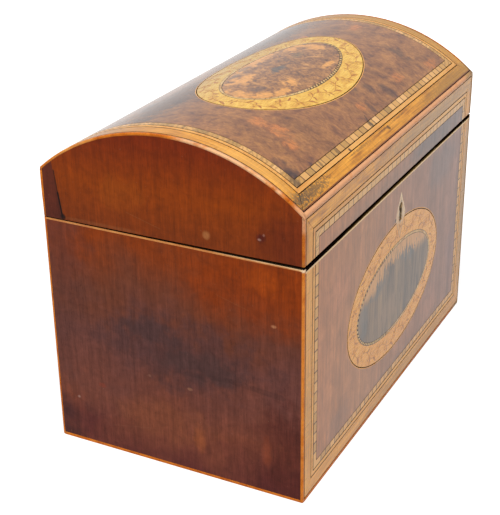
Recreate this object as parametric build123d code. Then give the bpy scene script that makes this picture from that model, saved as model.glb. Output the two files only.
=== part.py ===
from build123d import *
import math
import os

# A domed tea caddy: an inlaid case sawn into a box and a lid, a pair of stopped butt hinges, a lock
# with a sliding bolt, and two lift-out inner lids over the tea compartments.
# Millimetres. The origin is the middle of the underside, +Z is up, and the front faces -Y.

# The case, outside
LENGTH = 190.0
DEPTH = 113.0
BOX_HEIGHT = 101.6
LID_SIDE_HEIGHT = 20.9
DOME_RISE = 21.5

# The gap under the lid, which has twisted a little with age
GAP_BACK = 0.35
GAP_FRONT_LEFT = 1.2
GAP_FRONT_RIGHT = 0.9

# Boards and skins
VENEER = 0.9
WALL = 8.0
DOME_BOARD = 6.5
BASE_BOARD = 7.0

# Inlaid bands, from each edge inwards
EDGE_LINE = 1.35
EDGE_LINE_SIDE = 1.0
RIM_LINE = 0.8
RIM_SLIP = 1.1
FINE_LINE = 0.35
CROSSBAND = 5.6
DARK_LINE = 0.4
LIGHT_LINE = 1.75
LADDER = 2.75
FIELD_LINE = 0.25
MITRE_GAP = 0.12
LADDER_PITCH = 4.6
RUNG = 0.6

# Ovals: half length, half height and centre, then their rings from the outside inwards
FRONT_OVAL = (54.0, 30.8)
FRONT_OVAL_X = 0.3
FRONT_OVAL_BELOW_RIM = 49.1
TOP_OVAL = (54.2, 30.2)
TOP_OVAL_X = -2.0
TOP_OVAL_FORWARD = 3.5
OVAL_LIGHT = 0.4
OVAL_LINE = 0.4
OVAL_BAND = 9.6
CHEQUER = 1.5

# Escutcheon and keyhole; drops are measured down from the box's rim
KEY_X = 3.1
KEYHOLE_DROP = 12.8
KEYHOLE_HEAD_RADIUS = 1.9
KEYHOLE_SLOT_WIDTH = 2.5
KEYHOLE_SLOT_LENGTH = 6.4
ESCUTCHEON_WIDTH = 11.7
ESCUTCHEON_HEIGHT = 21.8
ESCUTCHEON_BELOW_HEAD = 4.1

# Linings, division and inner lids
LINING = 3.2
LIP_HEIGHT = 2.2
LIP_CLEARANCE = 0.4
LIP_ROUND = 0.8
LEDGE_DROP = 9.6
LEDGE_WIDTH = 1.6
DIVISION = 6.0
INNER_LID = 3.0
INNER_LID_CLEARANCE = 0.35
KNOB_HEIGHT = 11.0
KNOB_RADIUS = 4.0
KNOB_NECK_RADIUS = 2.0
KNOB_SPIGOT_RADIUS = 1.8
KNOB_FOOT_RADIUS = 3.2
KNOB_FOOT_HEIGHT = 1.3
KNOB_WAIST_HEIGHT = 4.0
KNOB_WIDEST_HEIGHT = 7.4
KNOB_CROWN_RADIUS = 2.4

# Hinges
HINGE_LENGTH = 26.0
HINGE_SPACING = 104.0
LEAF = 1.2
LEAF_WIDTH = 8.2
KNUCKLE_RADIUS = 2.0
KNUCKLE_COUNT = 3
KNUCKLE_CLEARANCE = 0.15
PIN_RADIUS = 0.9
PIN_CLEARANCE = 0.05
STOP_THICKNESS = 1.0
STOP_CLEARANCE = 0.1
STOP_ANGLE = 50.0
STOP_ROOT_ANGLE = 88.0

# Screws
SCREW_HEAD_RADIUS = 1.6
SCREW_HEAD_DEPTH = 0.9
SCREW_RADIUS = 0.8
SCREW_LENGTH = 6.0
SCREW_SIDES = 12
HINGE_SCREW_SPACING = 15.0

# Lock
LOCK_WIDTH = 46.0
LOCK_HEIGHT = 25.1
LOCK_PLATE = 1.2
LOCK_DEPTH = 6.6
SELVEDGE = 1.4
SELVEDGE_LENGTH = 58.0
SELVEDGE_SCREW_INSET = 2.2
CAP_WALL = 0.8
CAP_MARGIN = 1.2
BOLT_THICKNESS = 1.5
BOLT_CLEARANCE = 0.06
BOLT_ABOVE_PIN = 2.2
BOLT_BAR = 1.8
BOLT_TRAVEL = 3.0
BOLT_STOP_GAP = 0.1
CLAW_RISE = 6.8
CLAW_TIP = 2.2
CLAW_WIDTH = 2.0
TALON_WIDTH = 3.0
TALON_DEPTH = 0.8
HOOK_SPACING = 24.0
HOOK_POST = 2.0
HOOK_NOSE = 3.0
HOOK_NOSE_HEIGHT = 2.0
HOOK_CLEARANCE = 0.4
HOOK_SLOT_CLEARANCE = 0.8
LINK_PLATE_LIFT = 1.1
KEY_PIN_RADIUS = 0.9
KEY_PIN_SETBACK = 1.9
SPRING_STRIP = 0.35
SPRING_LEG = 5.0

# Worked out from the sizes above
SPRING_LINE = BOX_HEIGHT + LID_SIDE_HEIGHT
DOME_RADIUS = ((DEPTH / 2) ** 2 + DOME_RISE**2) / (2 * DOME_RISE)
DOME_CENTRE_Z = SPRING_LINE + DOME_RISE - DOME_RADIUS
DOME_HALF_ANGLE = math.degrees(math.asin(DEPTH / 2 / DOME_RADIUS))
TOP_Z = SPRING_LINE + DOME_RISE
HALF_LENGTH = LENGTH / 2
HALF_DEPTH = DEPTH / 2
OUTER_Y = HALF_DEPTH - VENEER
OUTER_X = HALF_LENGTH - VENEER
INNER_Y = OUTER_Y - WALL
INNER_X = OUTER_X - WALL
LINED_Y = INNER_Y - LINING
LINED_X = INNER_X - LINING
LEDGE_Z = BOX_HEIGHT - LEDGE_DROP
FRONT_OVAL_Z = BOX_HEIGHT - FRONT_OVAL_BELOW_RIM
RIM_LINE_TOP = BOX_HEIGHT - RIM_SLIP
FRONT_BANDS_TOP = RIM_LINE_TOP - RIM_LINE
KEYHOLE_HEAD_Z = BOX_HEIGHT - KEYHOLE_DROP
KEYHOLE_BOTTOM_Z = KEYHOLE_HEAD_Z - KEYHOLE_SLOT_LENGTH
ESCUTCHEON_Z = KEYHOLE_HEAD_Z - ESCUTCHEON_BELOW_HEAD
BOLT_BAR_Z = KEYHOLE_HEAD_Z + BOLT_ABOVE_PIN
LEDGE_Y = LINED_Y + LEDGE_WIDTH
LEDGE_X = LINED_X + LEDGE_WIDTH
HINGE_Z = BOX_HEIGHT + GAP_BACK / 2
HINGE_PLACES = (-HINGE_SPACING / 2, HINGE_SPACING / 2)
LOCK_FACE_Y = -INNER_Y
LOCK_FRONT_Y = LOCK_FACE_Y - LOCK_DEPTH
BOLT_BACK_Y = LOCK_FACE_Y - LOCK_PLATE - BOLT_CLEARANCE
BOLT_FRONT_Y = BOLT_BACK_Y - BOLT_THICKNESS
LINK_PLATE_Z = BOX_HEIGHT + LINK_PLATE_LIFT
HOOK_PLACES = (KEY_X - HOOK_SPACING / 2, KEY_X + HOOK_SPACING / 2)
SELVEDGE_SCREW_REACH = SELVEDGE_LENGTH / 2 - SELVEDGE_SCREW_INSET
SELVEDGE_SCREWS = (KEY_X - SELVEDGE_SCREW_REACH, KEY_X + SELVEDGE_SCREW_REACH)
SELVEDGE_MIDDLE_Y = LOCK_FACE_Y - LOCK_DEPTH / 2

# How far a cutting solid runs past the thing that it cuts, in length and in degrees
OVER = 2.0
OVER_ANGLE = 15.0

LAYERS = (
    ("edge", EDGE_LINE),
    ("fine", FINE_LINE),
    ("cross", CROSSBAND),
    ("outer_dark", DARK_LINE),
    ("light", LIGHT_LINE),
    ("inner_dark", DARK_LINE),
    ("ladder", LADDER),
    ("field_line", FIELD_LINE),
)


def band_limits():
    """Where each band starts and ends, from the edge inwards, and where the field starts."""
    limits, inset = {}, 0.0
    for name, width in LAYERS:
        limits[name] = (inset, inset + width)
        inset += width
    return limits, inset


BANDS, FIELD = band_limits()


def block(x, y, z):
    """Box between three pairs of limits."""
    size = (x[1] - x[0], y[1] - y[0], z[1] - z[0])
    return Pos(x[0], y[0], z[0]) * Box(*size, align=(Align.MIN, Align.MIN, Align.MIN))


def along_x(face, start, end):
    """A face drawn in Y and Z, run along X between two limits."""
    return Pos(start, 0, 0) * extrude(Plane.YZ * face, end - start)


def ring_sector(radii, angles, x, centre):
    """Part of a ring about an axis along X, with its angles counted from +Y."""
    y, z = centre

    def at(radius, angle):
        turn = math.radians(angle)
        return (y + radius * math.cos(turn), z + radius * math.sin(turn))

    start, end = angles
    middle = (start + end) / 2
    inner, outer = radii
    outside = ThreePointArc(at(outer, start), at(outer, middle), at(outer, end))
    inside = ThreePointArc(at(inner, end), at(inner, middle), at(inner, start))
    sides = [Line(outside @ 1, inside @ 0), Line(inside @ 1, outside @ 0)]
    return along_x(make_face([outside, inside, *sides]), *x)


def rod_x(radius, x, y, z):
    """Round rod along X."""
    middle = (x[0] + x[1]) / 2
    return Pos(middle, y, z) * Rot(0, 90, 0) * Cylinder(radius, x[1] - x[0])


def rod_y(radius, x, y, z):
    """Round rod along Y."""
    middle = (y[0] + y[1]) / 2
    return Pos(x, middle, z) * Rot(90, 0, 0) * Cylinder(radius, y[1] - y[0])


def spaced(start, stop, pitch):
    """Even places between two limits, near the pitch, with none on the limits themselves."""
    count = max(2, round((stop - start) / pitch))
    return [start + (stop - start) * i / count for i in range(1, count)]


def case_solid(inset):
    """The whole closed case, drawn in by an inset everywhere but at its underside."""
    half = HALF_DEPTH - inset
    radius = DOME_RADIUS - inset
    foot = DOME_CENTRE_Z + math.sqrt(radius**2 - half**2)
    dome = ThreePointArc((half, foot), (0, DOME_CENTRE_Z + radius), (-half, foot))
    left = Line((-half, foot), (-half, 0))
    right = Line((half, 0), (half, foot))
    face = make_face([dome, left, Line((-half, 0), (half, 0)), right])
    return along_x(face, inset - HALF_LENGTH, HALF_LENGTH - inset)


def lid_gap(x, y):
    """Height of the gap under the lid at a place on the rim."""
    front = GAP_FRONT_LEFT + (GAP_FRONT_RIGHT - GAP_FRONT_LEFT) * (x / LENGTH + 0.5)
    return GAP_BACK + (front - GAP_BACK) * (0.5 - y / DEPTH)


def under_lid():
    """Everything below the lid's twisted underside, to cut the lid's pieces with."""
    sections = []
    for x in (-HALF_LENGTH - OVER, HALF_LENGTH + OVER):
        near, far = -HALF_DEPTH - OVER, HALF_DEPTH + OVER
        corners = [
            (x, near, -OVER),
            (x, far, -OVER),
            (x, far, BOX_HEIGHT + lid_gap(x, far)),
            (x, near, BOX_HEIGHT + lid_gap(x, near)),
        ]
        sections.append(Wire.make_polygon([Vector(*corner) for corner in corners], close=True))
    return Solid.make_loft(sections, ruled=True)


UNDER_LID = under_lid()
ROUND_RIM = block(
    (-HALF_LENGTH - OVER, HALF_LENGTH + OVER),
    (-HALF_DEPTH - OVER, HALF_DEPTH + OVER),
    (BOX_HEIGHT, TOP_Z + OVER),
)


def box_part(piece):
    """What the saw leaves of a piece on the box."""
    return piece - ROUND_RIM


def lid_part(piece):
    """What the saw leaves of a piece on the lid."""
    return piece - UNDER_LID


def about_top(half):
    """Start and end, counted from +Y, of an arc that lies evenly about the dome's top."""
    return (90 - half, 90 + half)


def dome_patch(inset, over=0.0):
    """The dome's veneer inside an inset from its four edges."""
    half = DOME_HALF_ANGLE - math.degrees(inset / DOME_RADIUS)
    radii = (DOME_RADIUS - VENEER - over, DOME_RADIUS + over)
    x = (inset - HALF_LENGTH, HALF_LENGTH - inset)
    return ring_sector(radii, about_top(half), x, (0, DOME_CENTRE_Z))


def front_patch(inset, over=0.0):
    """The front's veneer inside an inset from its four edges."""
    x = (inset - HALF_LENGTH, HALF_LENGTH - inset)
    y = (-HALF_DEPTH - over, VENEER - HALF_DEPTH + over)
    return block(x, y, (inset, SPRING_LINE - inset))


def dome_frame(layer):
    """One inlaid band round the dome."""
    outer, inner = BANDS[layer]
    return dome_patch(outer) - dome_patch(inner, OVER)


def front_frame(layer):
    """One inlaid band round the front, box and lid together."""
    outer, inner = BANDS[layer]
    return front_patch(outer) - front_patch(inner, OVER)


def frames(make_frame, layers):
    """Several bands of one face, as separate solids."""
    return [solid for layer in layers for solid in make_frame(layer).solids()]


def edge_strings():
    """The boxwood strings let into the case's edges, each mitred by the ones before it."""
    cos_foot = math.cos(math.radians(DOME_HALF_ANGLE))
    strings = []
    for side in (-1, 1):
        outer, inner = side * HALF_LENGTH, side * (HALF_LENGTH - EDGE_LINE)
        radii = (DOME_RADIUS - EDGE_LINE_SIDE, DOME_RADIUS)
        x = (min(outer, inner), max(outer, inner))
        strings.append(ring_sector(radii, about_top(DOME_HALF_ANGLE), x, (0, DOME_CENTRE_Z)))
    for side in (-1, 1):
        outer, inner = side * HALF_DEPTH, side * (HALF_DEPTH - EDGE_LINE * cos_foot)
        y = (min(outer, inner), max(outer, inner))
        z = (SPRING_LINE - EDGE_LINE, SPRING_LINE + EDGE_LINE)
        strings.append(block((-HALF_LENGTH, HALF_LENGTH), y, z))
    for x_side in (-1, 1):
        for y_side in (-1, 1):
            x = sorted((x_side * HALF_LENGTH, x_side * (HALF_LENGTH - EDGE_LINE)))
            y = sorted((y_side * HALF_DEPTH, y_side * (HALF_DEPTH - EDGE_LINE_SIDE)))
            strings.append(block(x, y, (0, SPRING_LINE)))
    for side in (-1, 1):
        y = sorted((side * HALF_DEPTH, side * (HALF_DEPTH - VENEER)))
        strings.append(block((-HALF_LENGTH, HALF_LENGTH), y, (0, EDGE_LINE)))
    for side in (-1, 1):
        x = sorted((side * HALF_LENGTH, side * (HALF_LENGTH - VENEER)))
        strings.append(block(x, (-HALF_DEPTH, HALF_DEPTH), (0, EDGE_LINE)))
    seated = []
    for string in strings:
        piece = string & case_solid(0)
        if seated:
            piece = piece - seated
        seated += piece.solids()
    return seated


EDGE_STRINGS = edge_strings()


def rim_strings():
    """The pale strings at the box's rim; the one on the front lies below a dark slip."""
    z = (BOX_HEIGHT - RIM_LINE, BOX_HEIGHT)
    across = (EDGE_LINE - HALF_LENGTH, HALF_LENGTH - EDGE_LINE)
    deep = (EDGE_LINE_SIDE - HALF_DEPTH, HALF_DEPTH - EDGE_LINE_SIDE)
    front = block(across, (-HALF_DEPTH, -OUTER_Y), (FRONT_BANDS_TOP, RIM_LINE_TOP))
    back = block(across, (OUTER_Y, HALF_DEPTH), z)
    left = block((-HALF_LENGTH, -OUTER_X), deep, z)
    right = block((OUTER_X, HALF_LENGTH), deep, z)
    return [front, back - hinge_reliefs(), left, right]


def rim_slip():
    """The dark slip along the top of the box's front."""
    across = (EDGE_LINE - HALF_LENGTH, HALF_LENGTH - EDGE_LINE)
    return block(across, (-HALF_DEPTH, -OUTER_Y), (RIM_LINE_TOP, BOX_HEIGHT))


def hinge_reliefs():
    """Round recesses for the knuckles in the back edges."""
    radius = KNUCKLE_RADIUS + KNUCKLE_CLEARANCE
    half = HINGE_LENGTH / 2 + KNUCKLE_CLEARANCE
    return [rod_x(radius, (x - half, x + half), HALF_DEPTH, HINGE_Z) for x in HINGE_PLACES]


def top_prism(half_axes):
    """Upright oval cutter over the dome; its half height is measured along the curve."""
    a, b = half_axes
    outline = Ellipse(a, DOME_RADIUS * math.sin(b / DOME_RADIUS))
    placed = Pos(TOP_OVAL_X, -TOP_OVAL_FORWARD, SPRING_LINE) * outline
    return extrude(placed, DOME_RISE + OVER)


def front_prism(half_axes):
    """Oval cutter through the front veneer."""
    outline = Plane.XZ * Pos(FRONT_OVAL_X, FRONT_OVAL_Z) * Ellipse(*half_axes)
    return Pos(0, -HALF_DEPTH + VENEER + OVER, 0) * extrude(outline, VENEER + 2 * OVER)


def shrink(half_axes, inset):
    """Half axes of an oval drawn in by an inset."""
    return (half_axes[0] - inset, half_axes[1] - inset)


def oval_set(patch, prism, half_axes):
    """Light line, dark line, vine band, chequer and panel of one oval, cut from a veneer."""
    insets = [0.0]
    for width in (OVAL_LIGHT, OVAL_LINE, OVAL_BAND, CHEQUER):
        insets.append(insets[-1] + width)
    prisms = [prism(shrink(half_axes, inset)) for inset in insets]
    discs = [patch & cutter for cutter in prisms]
    rings = [disc - cutter for disc, cutter in zip(discs, prisms[1:])]
    return (*rings, discs[-1])


def escutcheon_prism():
    """Lozenge cutter for the escutcheon's place."""
    half_w, half_h = ESCUTCHEON_WIDTH / 2, ESCUTCHEON_HEIGHT / 2
    corners = [
        (KEY_X, ESCUTCHEON_Z + half_h),
        (KEY_X + half_w, ESCUTCHEON_Z),
        (KEY_X, ESCUTCHEON_Z - half_h),
        (KEY_X - half_w, ESCUTCHEON_Z),
    ]
    face = Plane.XZ * make_face(Polyline(*corners, close=True))
    return Pos(0, -OUTER_Y, 0) * extrude(face, VENEER)


def keyhole():
    """Round-headed keyhole through the front, as far as the lock plate."""
    y = (-HALF_DEPTH - OVER, BOLT_FRONT_Y)
    slot = (KEY_X - KEYHOLE_SLOT_WIDTH / 2, KEY_X + KEYHOLE_SLOT_WIDTH / 2)
    head = rod_y(KEYHOLE_HEAD_RADIUS, KEY_X, y, KEYHOLE_HEAD_Z)
    return head + block(slot, y, (KEYHOLE_BOTTOM_Z, KEYHOLE_HEAD_Z))


def front_inlays(pieces):
    """Bands, ovals, escutcheon and field of the front, shared between box and lid."""
    body_top = block(
        (-HALF_LENGTH, HALF_LENGTH),
        (-HALF_DEPTH - OVER, -OUTER_Y + OVER),
        (FRONT_BANDS_TOP, TOP_Z),
    )
    mitres = [
        Pos(x, -HALF_DEPTH, z) * Rot(0, turn, 0) * Box(MITRE_GAP, 4 * OVER, 4 * CROSSBAND)
        for x, z, turn in (
            (-HALF_LENGTH, 0, 45),
            (HALF_LENGTH, 0, -45),
            (-HALF_LENGTH, SPRING_LINE, -45),
            (HALF_LENGTH, SPRING_LINE, 45),
        )
    ]
    cross = front_frame("cross") - mitres
    pieces["front_crossbanding"] = cross - body_top
    dark = frames(front_frame, ("fine", "outer_dark", "inner_dark", "field_line"))
    light = front_frame("light")
    field = front_patch(FIELD)
    halo, line, band, chequer, panel = oval_set(field, front_prism, FRONT_OVAL)
    lozenge = escutcheon_prism()
    dark_below = [solid - body_top for solid in dark]
    pieces["front_dark_lines"] = [*dark_below, line - lozenge, rim_slip()]
    pieces["front_light_lines"] = [light - body_top, halo - lozenge]
    pieces["front_oval_band"] = band - lozenge
    pieces["front_oval_chequer"] = chequer - lozenge
    pieces["front_oval_panel"] = panel
    pieces["veneer_front"] = field - front_prism(FRONT_OVAL) - body_top - lozenge
    pieces["escutcheon"] = lozenge - keyhole()
    pieces["front_ladder_blocks"], pieces["front_ladder_rungs"] = box_ladder()
    return {
        "cross": lid_part(cross),
        "dark": [lid_part(solid) for solid in dark],
        "light": lid_part(light),
        "field": lid_part(field),
    }


def front_rung_places():
    """Where the upright rungs stand along the front's level strings."""
    half = HALF_LENGTH - BANDS["ladder"][1]
    return spaced(-half, half, LADDER_PITCH)


def runs(places, start, end):
    """The stretches of a ladder string: light blocks between the rungs, and the rungs."""
    stops = [start] + [edge for place in places for edge in (place - RUNG / 2, place + RUNG / 2)]
    stops.append(end)
    pairs = list(zip(stops, stops[1:]))
    return pairs[0::2], pairs[1::2]


def front_ladder(level, z, across_z):
    """Ladder string on the front of the box or the lid: up both sides and across one end."""
    y = (-HALF_DEPTH, -OUTER_Y)
    outer, inner = (HALF_LENGTH - inset for inset in BANDS["ladder"])
    kinds = []
    across = runs(front_rung_places(), -outer, outer)
    for uprights, sides in zip(across, runs(level, *z)):
        parts = [block(x, y, across_z) for x in uprights]
        parts += [block(x, y, side) for side in sides for x in ((-outer, -inner), (inner, outer))]
        kinds.append(parts)
    return kinds


def box_ladder():
    """Blocks and rungs of the ladder string on the box's front."""
    low, high = BANDS["ladder"]
    top = FRONT_BANDS_TOP
    return front_ladder(spaced(high, top, LADDER_PITCH), (high, top), (low, high))


def lid_front_ladder():
    """Blocks and rungs of the ladder string on the lid's front, sawn off at its underside."""
    high, low = (SPRING_LINE - inset for inset in BANDS["ladder"])
    start = BOX_HEIGHT + GAP_FRONT_LEFT
    kinds = front_ladder(spaced(start, low, LADDER_PITCH), (BOX_HEIGHT, low), (low, high))
    return [[lid_part(piece) for piece in parts] for parts in kinds]


def curved_block(angles, x):
    """One flat-faced block of a ladder string, laid on the dome between two angles."""
    half = math.radians(angles[1] - angles[0]) / 2
    middle = math.radians((angles[0] + angles[1]) / 2)
    foot = (DOME_RADIUS - VENEER) / math.cos(half)
    corners = [
        (radius * math.sin(turn), DOME_CENTRE_Z + radius * math.cos(turn))
        for radius, turn in (
            (foot, middle - half),
            (foot, middle + half),
            (DOME_RADIUS, middle + half),
            (DOME_RADIUS, middle - half),
        )
    ]
    return along_x(make_face(Polyline(*corners, close=True)), *x)


def dome_ladder():
    """Ladder string round the dome, its rungs square to the edge that they run beside."""
    outer, inner = (HALF_LENGTH - inset for inset in BANDS["ladder"])
    high, low = (DOME_HALF_ANGLE - math.degrees(inset / DOME_RADIUS) for inset in BANDS["ladder"])
    curve = runs(
        spaced(-low, low, math.degrees(LADDER_PITCH / DOME_RADIUS)),
        -low,
        low,
    )
    kinds = []
    for across, along in zip(runs(front_rung_places(), -outer, outer), curve):
        parts = [curved_block(sides, x) for x in across for sides in ((-high, -low), (low, high))]
        parts += [curved_block(arc, x) for arc in along for x in ((-outer, -inner), (inner, outer))]
        kinds.append(parts)
    return kinds


def dome_mitres():
    """Saw gaps at the corners of the dome's crossbanding."""
    lean = math.degrees(math.atan(math.cos(math.radians(DOME_HALF_ANGLE))))
    gaps = []
    for x_side in (-1, 1):
        for y_side in (-1, 1):
            turn = x_side * y_side * lean
            gap = Box(4 * CROSSBAND, MITRE_GAP, 8 * CROSSBAND)
            gaps.append(Pos(x_side * HALF_LENGTH, y_side * HALF_DEPTH, SPRING_LINE) * Rot(0, 0, turn) * gap)
    return gaps


def lid_inlays(pieces, front):
    """Bands, oval and field of the dome, with the lid's share of the front's bands."""
    dark = frames(dome_frame, ("fine", "outer_dark", "inner_dark", "field_line"))
    field = dome_patch(FIELD)
    halo, line, band, chequer, panel = oval_set(field, top_prism, TOP_OVAL)
    blocks, rungs = dome_ladder()
    front_blocks, front_rungs = lid_front_ladder()
    pieces["lid_crossbanding"] = [dome_frame("cross") - dome_mitres(), front["cross"]]
    pieces["lid_dark_lines"] = dark + front["dark"] + [line]
    pieces["lid_light_lines"] = [dome_frame("light"), front["light"], halo]
    pieces["lid_ladder_blocks"] = blocks + front_blocks
    pieces["lid_ladder_rungs"] = rungs + front_rungs
    pieces["lid_oval_band"] = band
    pieces["lid_oval_chequer"] = chequer
    pieces["lid_oval_panel"] = panel
    pieces["lid_veneer_top"] = field - top_prism(TOP_OVAL)
    pieces["lid_veneer_front"] = front["field"]


def plain_skins(pieces):
    """Veneers of the ends and the back, and the strings at the edges."""
    rims = rim_strings()
    y = (EDGE_LINE_SIDE - HALF_DEPTH, HALF_DEPTH - EDGE_LINE_SIDE)
    skins = {
        "left": block((-HALF_LENGTH, -OUTER_X), y, (0, TOP_Z)),
        "right": block((OUTER_X, HALF_LENGTH), y, (0, TOP_Z)),
    }
    x = (EDGE_LINE - HALF_LENGTH, HALF_LENGTH - EDGE_LINE)
    skins["back"] = block(x, (OUTER_Y, HALF_DEPTH), (0, SPRING_LINE)) - hinge_reliefs()
    for name, skin in skins.items():
        whole = (skin & case_solid(0)) - EDGE_STRINGS
        pieces[f"veneer_{name}"] = box_part(whole) - rims
        pieces[f"lid_veneer_{name}"] = lid_part(whole)
    reliefs = hinge_reliefs()
    pieces["edge_strings"] = [box_part(string) - reliefs for string in EDGE_STRINGS]
    pieces["lid_edge_strings"] = [lid_part(string) - reliefs for string in EDGE_STRINGS]
    pieces["rim_strings"] = rims


def screw(x, y, z, up):
    """Countersunk screw with its head flush at z, driven up into the lid or down into the box."""
    top = RegularPolygon(SCREW_HEAD_RADIUS, SCREW_SIDES)
    neck = RegularPolygon(SCREW_RADIUS, SCREW_SIDES)
    head = loft([top, Pos(0, 0, -SCREW_HEAD_DEPTH) * neck], ruled=True)
    shank = extrude(Pos(0, 0, -SCREW_LENGTH) * neck, SCREW_LENGTH - SCREW_HEAD_DEPTH)
    return Pos(x, y, z) * Rot(180 if up else 0, 0, 0) * (head + shank)


def screw_set(lid):
    """All screws of the box or of the lid."""
    sign = 1 if lid else -1
    hinge_face = HINGE_Z + sign * GAP_BACK / 2
    leaf_y = HALF_DEPTH - (LEAF_WIDTH + KNUCKLE_RADIUS) / 2
    lock_face = LINK_PLATE_Z if lid else BOX_HEIGHT
    places = [
        (x + step * HINGE_SCREW_SPACING, leaf_y, hinge_face)
        for x in HINGE_PLACES
        for step in (-0.5, 0.5)
    ]
    places += [(x, SELVEDGE_MIDDLE_Y, lock_face) for x in SELVEDGE_SCREWS]
    return [screw(*place, up=lid) for place in places]


def hinge_leaf(lid):
    """One leaf of a stopped butt hinge about its own axis, with every other knuckle."""
    half = HINGE_LENGTH / 2
    sign = 1 if lid else -1
    near, far = sorted((sign * GAP_BACK / 2, sign * (GAP_BACK / 2 + LEAF)))
    plate_end = -KNUCKLE_RADIUS - KNUCKLE_CLEARANCE
    leaf = block((-half, half), (-LEAF_WIDTH, plate_end), (near, far))
    bore = PIN_RADIUS + (PIN_CLEARANCE if lid else 0)
    segment = HINGE_LENGTH / KNUCKLE_COUNT
    angles = sorted((sign * STOP_ANGLE, sign * STOP_ROOT_ANGLE))
    stop_radii = (KNUCKLE_RADIUS + STOP_CLEARANCE, KNUCKLE_RADIUS + STOP_CLEARANCE + STOP_THICKNESS)
    leaf += ring_sector(stop_radii, angles, (-half, half), (0, 0))
    for i in range(1 if lid else 0, KNUCKLE_COUNT, 2):
        start = i * segment - half + (KNUCKLE_CLEARANCE / 2 if i else 0)
        end = (i + 1) * segment - half - (KNUCKLE_CLEARANCE / 2 if i < KNUCKLE_COUNT - 1 else 0)
        leaf += rod_x(KNUCKLE_RADIUS, (start, end), 0, 0)
        leaf += block((start, end), (plate_end - OVER, 0), (near, far))
        foot = (KNUCKLE_RADIUS - STOP_CLEARANCE, stop_radii[1])
        leaf += ring_sector(foot, angles, (start, end), (0, 0))
    return leaf - rod_x(bore, (-half - OVER, half + OVER), 0, 0)


def hinges(pieces, box_screws, lid_screws):
    """Both hinges: leaves on the box, leaves on the lid, and pins."""
    half = HINGE_LENGTH / 2
    places = [Pos(x, HALF_DEPTH, HINGE_Z) for x in HINGE_PLACES]
    pieces["hinge_box_leaves"] = [place * hinge_leaf(False) - box_screws for place in places]
    pieces["hinge_lid_leaves"] = [place * hinge_leaf(True) - lid_screws for place in places]
    pieces["hinge_pins"] = [place * rod_x(PIN_RADIUS, (-half, half), 0, 0) for place in places]


def leaf_mortises(lid):
    """Shallow beds for the hinge leaves in the box's rim or the lid's underside."""
    half = HINGE_LENGTH / 2 + KNUCKLE_CLEARANCE
    sign = 1 if lid else -1
    z = sorted((HINGE_Z - sign * OVER, HINGE_Z + sign * (GAP_BACK / 2 + LEAF)))
    y = (HALF_DEPTH - LEAF_WIDTH, HALF_DEPTH + OVER)
    return [block((x - half, x + half), y, z) for x in HINGE_PLACES]


def lock_mortise():
    """Recess in the front board for the lock and its selvedge."""
    half, wide = LOCK_WIDTH / 2, SELVEDGE_LENGTH / 2
    y = (LOCK_FRONT_Y, LOCK_FACE_Y + OVER)
    well = block((KEY_X - half, KEY_X + half), y, (BOX_HEIGHT - LOCK_HEIGHT, BOX_HEIGHT + OVER))
    bed = block((KEY_X - wide, KEY_X + wide), y, (BOX_HEIGHT - SELVEDGE, BOX_HEIGHT + OVER))
    return well + bed


def hook_slots():
    """Slots in the selvedge for the lid's hooks."""
    y = (BOLT_FRONT_Y - HOOK_SLOT_CLEARANCE, BOLT_BACK_Y + BOLT_CLEARANCE)
    z = (BOX_HEIGHT - SELVEDGE - OVER, BOX_HEIGHT + OVER)
    ends = (-HOOK_NOSE - HOOK_CLEARANCE, HOOK_POST + HOOK_CLEARANCE)
    return [block((x + ends[0], x + ends[1]), y, z) for x in HOOK_PLACES]


def lock_case(pieces, screws):
    """Lock plate with its selvedge and key pin, and the cap that boxes in the works."""
    half, wide = LOCK_WIDTH / 2, SELVEDGE_LENGTH / 2
    under = BOX_HEIGHT - SELVEDGE
    plate_y = (LOCK_FACE_Y - LOCK_PLATE, LOCK_FACE_Y)
    plate = block((KEY_X - half, KEY_X + half), plate_y, (BOX_HEIGHT - LOCK_HEIGHT, BOX_HEIGHT))
    edge = block((KEY_X - wide, KEY_X + wide), (LOCK_FRONT_Y, LOCK_FACE_Y), (under, BOX_HEIGHT))
    pin_y = (KEY_PIN_SETBACK - HALF_DEPTH, LOCK_FACE_Y - LOCK_PLATE)
    pin = rod_y(KEY_PIN_RADIUS, KEY_X, pin_y, KEYHOLE_HEAD_Z)
    pieces["lock_plate"] = plate + (edge - hook_slots()) - screws
    pieces["lock_key_pin"] = pin
    outer = half - CAP_MARGIN
    bottom = BOX_HEIGHT - LOCK_HEIGHT + CAP_MARGIN
    cap_y = (LOCK_FRONT_Y, LOCK_FACE_Y - LOCK_PLATE)
    cap = block((KEY_X - outer, KEY_X + outer), cap_y, (bottom, under))
    hollow_x = (KEY_X - outer + CAP_WALL, KEY_X + outer - CAP_WALL)
    hollow = block(hollow_x, (LOCK_FRONT_Y + CAP_WALL, cap_y[1]), (bottom + CAP_WALL, under))
    pieces["lock_cap"] = cap - hollow - keyhole()


def lock_bolt():
    """Sliding bolt: a bar with two claws that pass over the noses of the lid's hooks."""
    y = (BOLT_FRONT_Y, BOLT_BACK_Y)
    tips = [x - HOOK_NOSE - HOOK_CLEARANCE for x in HOOK_PLACES]
    reach = BOLT_TRAVEL - HOOK_CLEARANCE + BOLT_STOP_GAP
    ends = [tip - reach for tip in tips]
    bar_x = (ends[0] - CLAW_WIDTH, ends[1])
    bolt = block(bar_x, y, (BOLT_BAR_Z, BOLT_BAR_Z + BOLT_BAR))
    top = BOLT_BAR_Z + CLAW_RISE
    for end, tip in zip(ends, tips):
        bolt += block((end - CLAW_WIDTH, end), y, (BOLT_BAR_Z, top))
        bolt += block((end - CLAW_WIDTH, tip), y, (top - CLAW_TIP, top))
    talon_x = (KEY_X - TALON_WIDTH / 2, KEY_X + TALON_WIDTH / 2)
    return bolt - block(talon_x, (y[0] - OVER, y[1] + OVER), (0, BOLT_BAR_Z + TALON_DEPTH))


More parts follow.
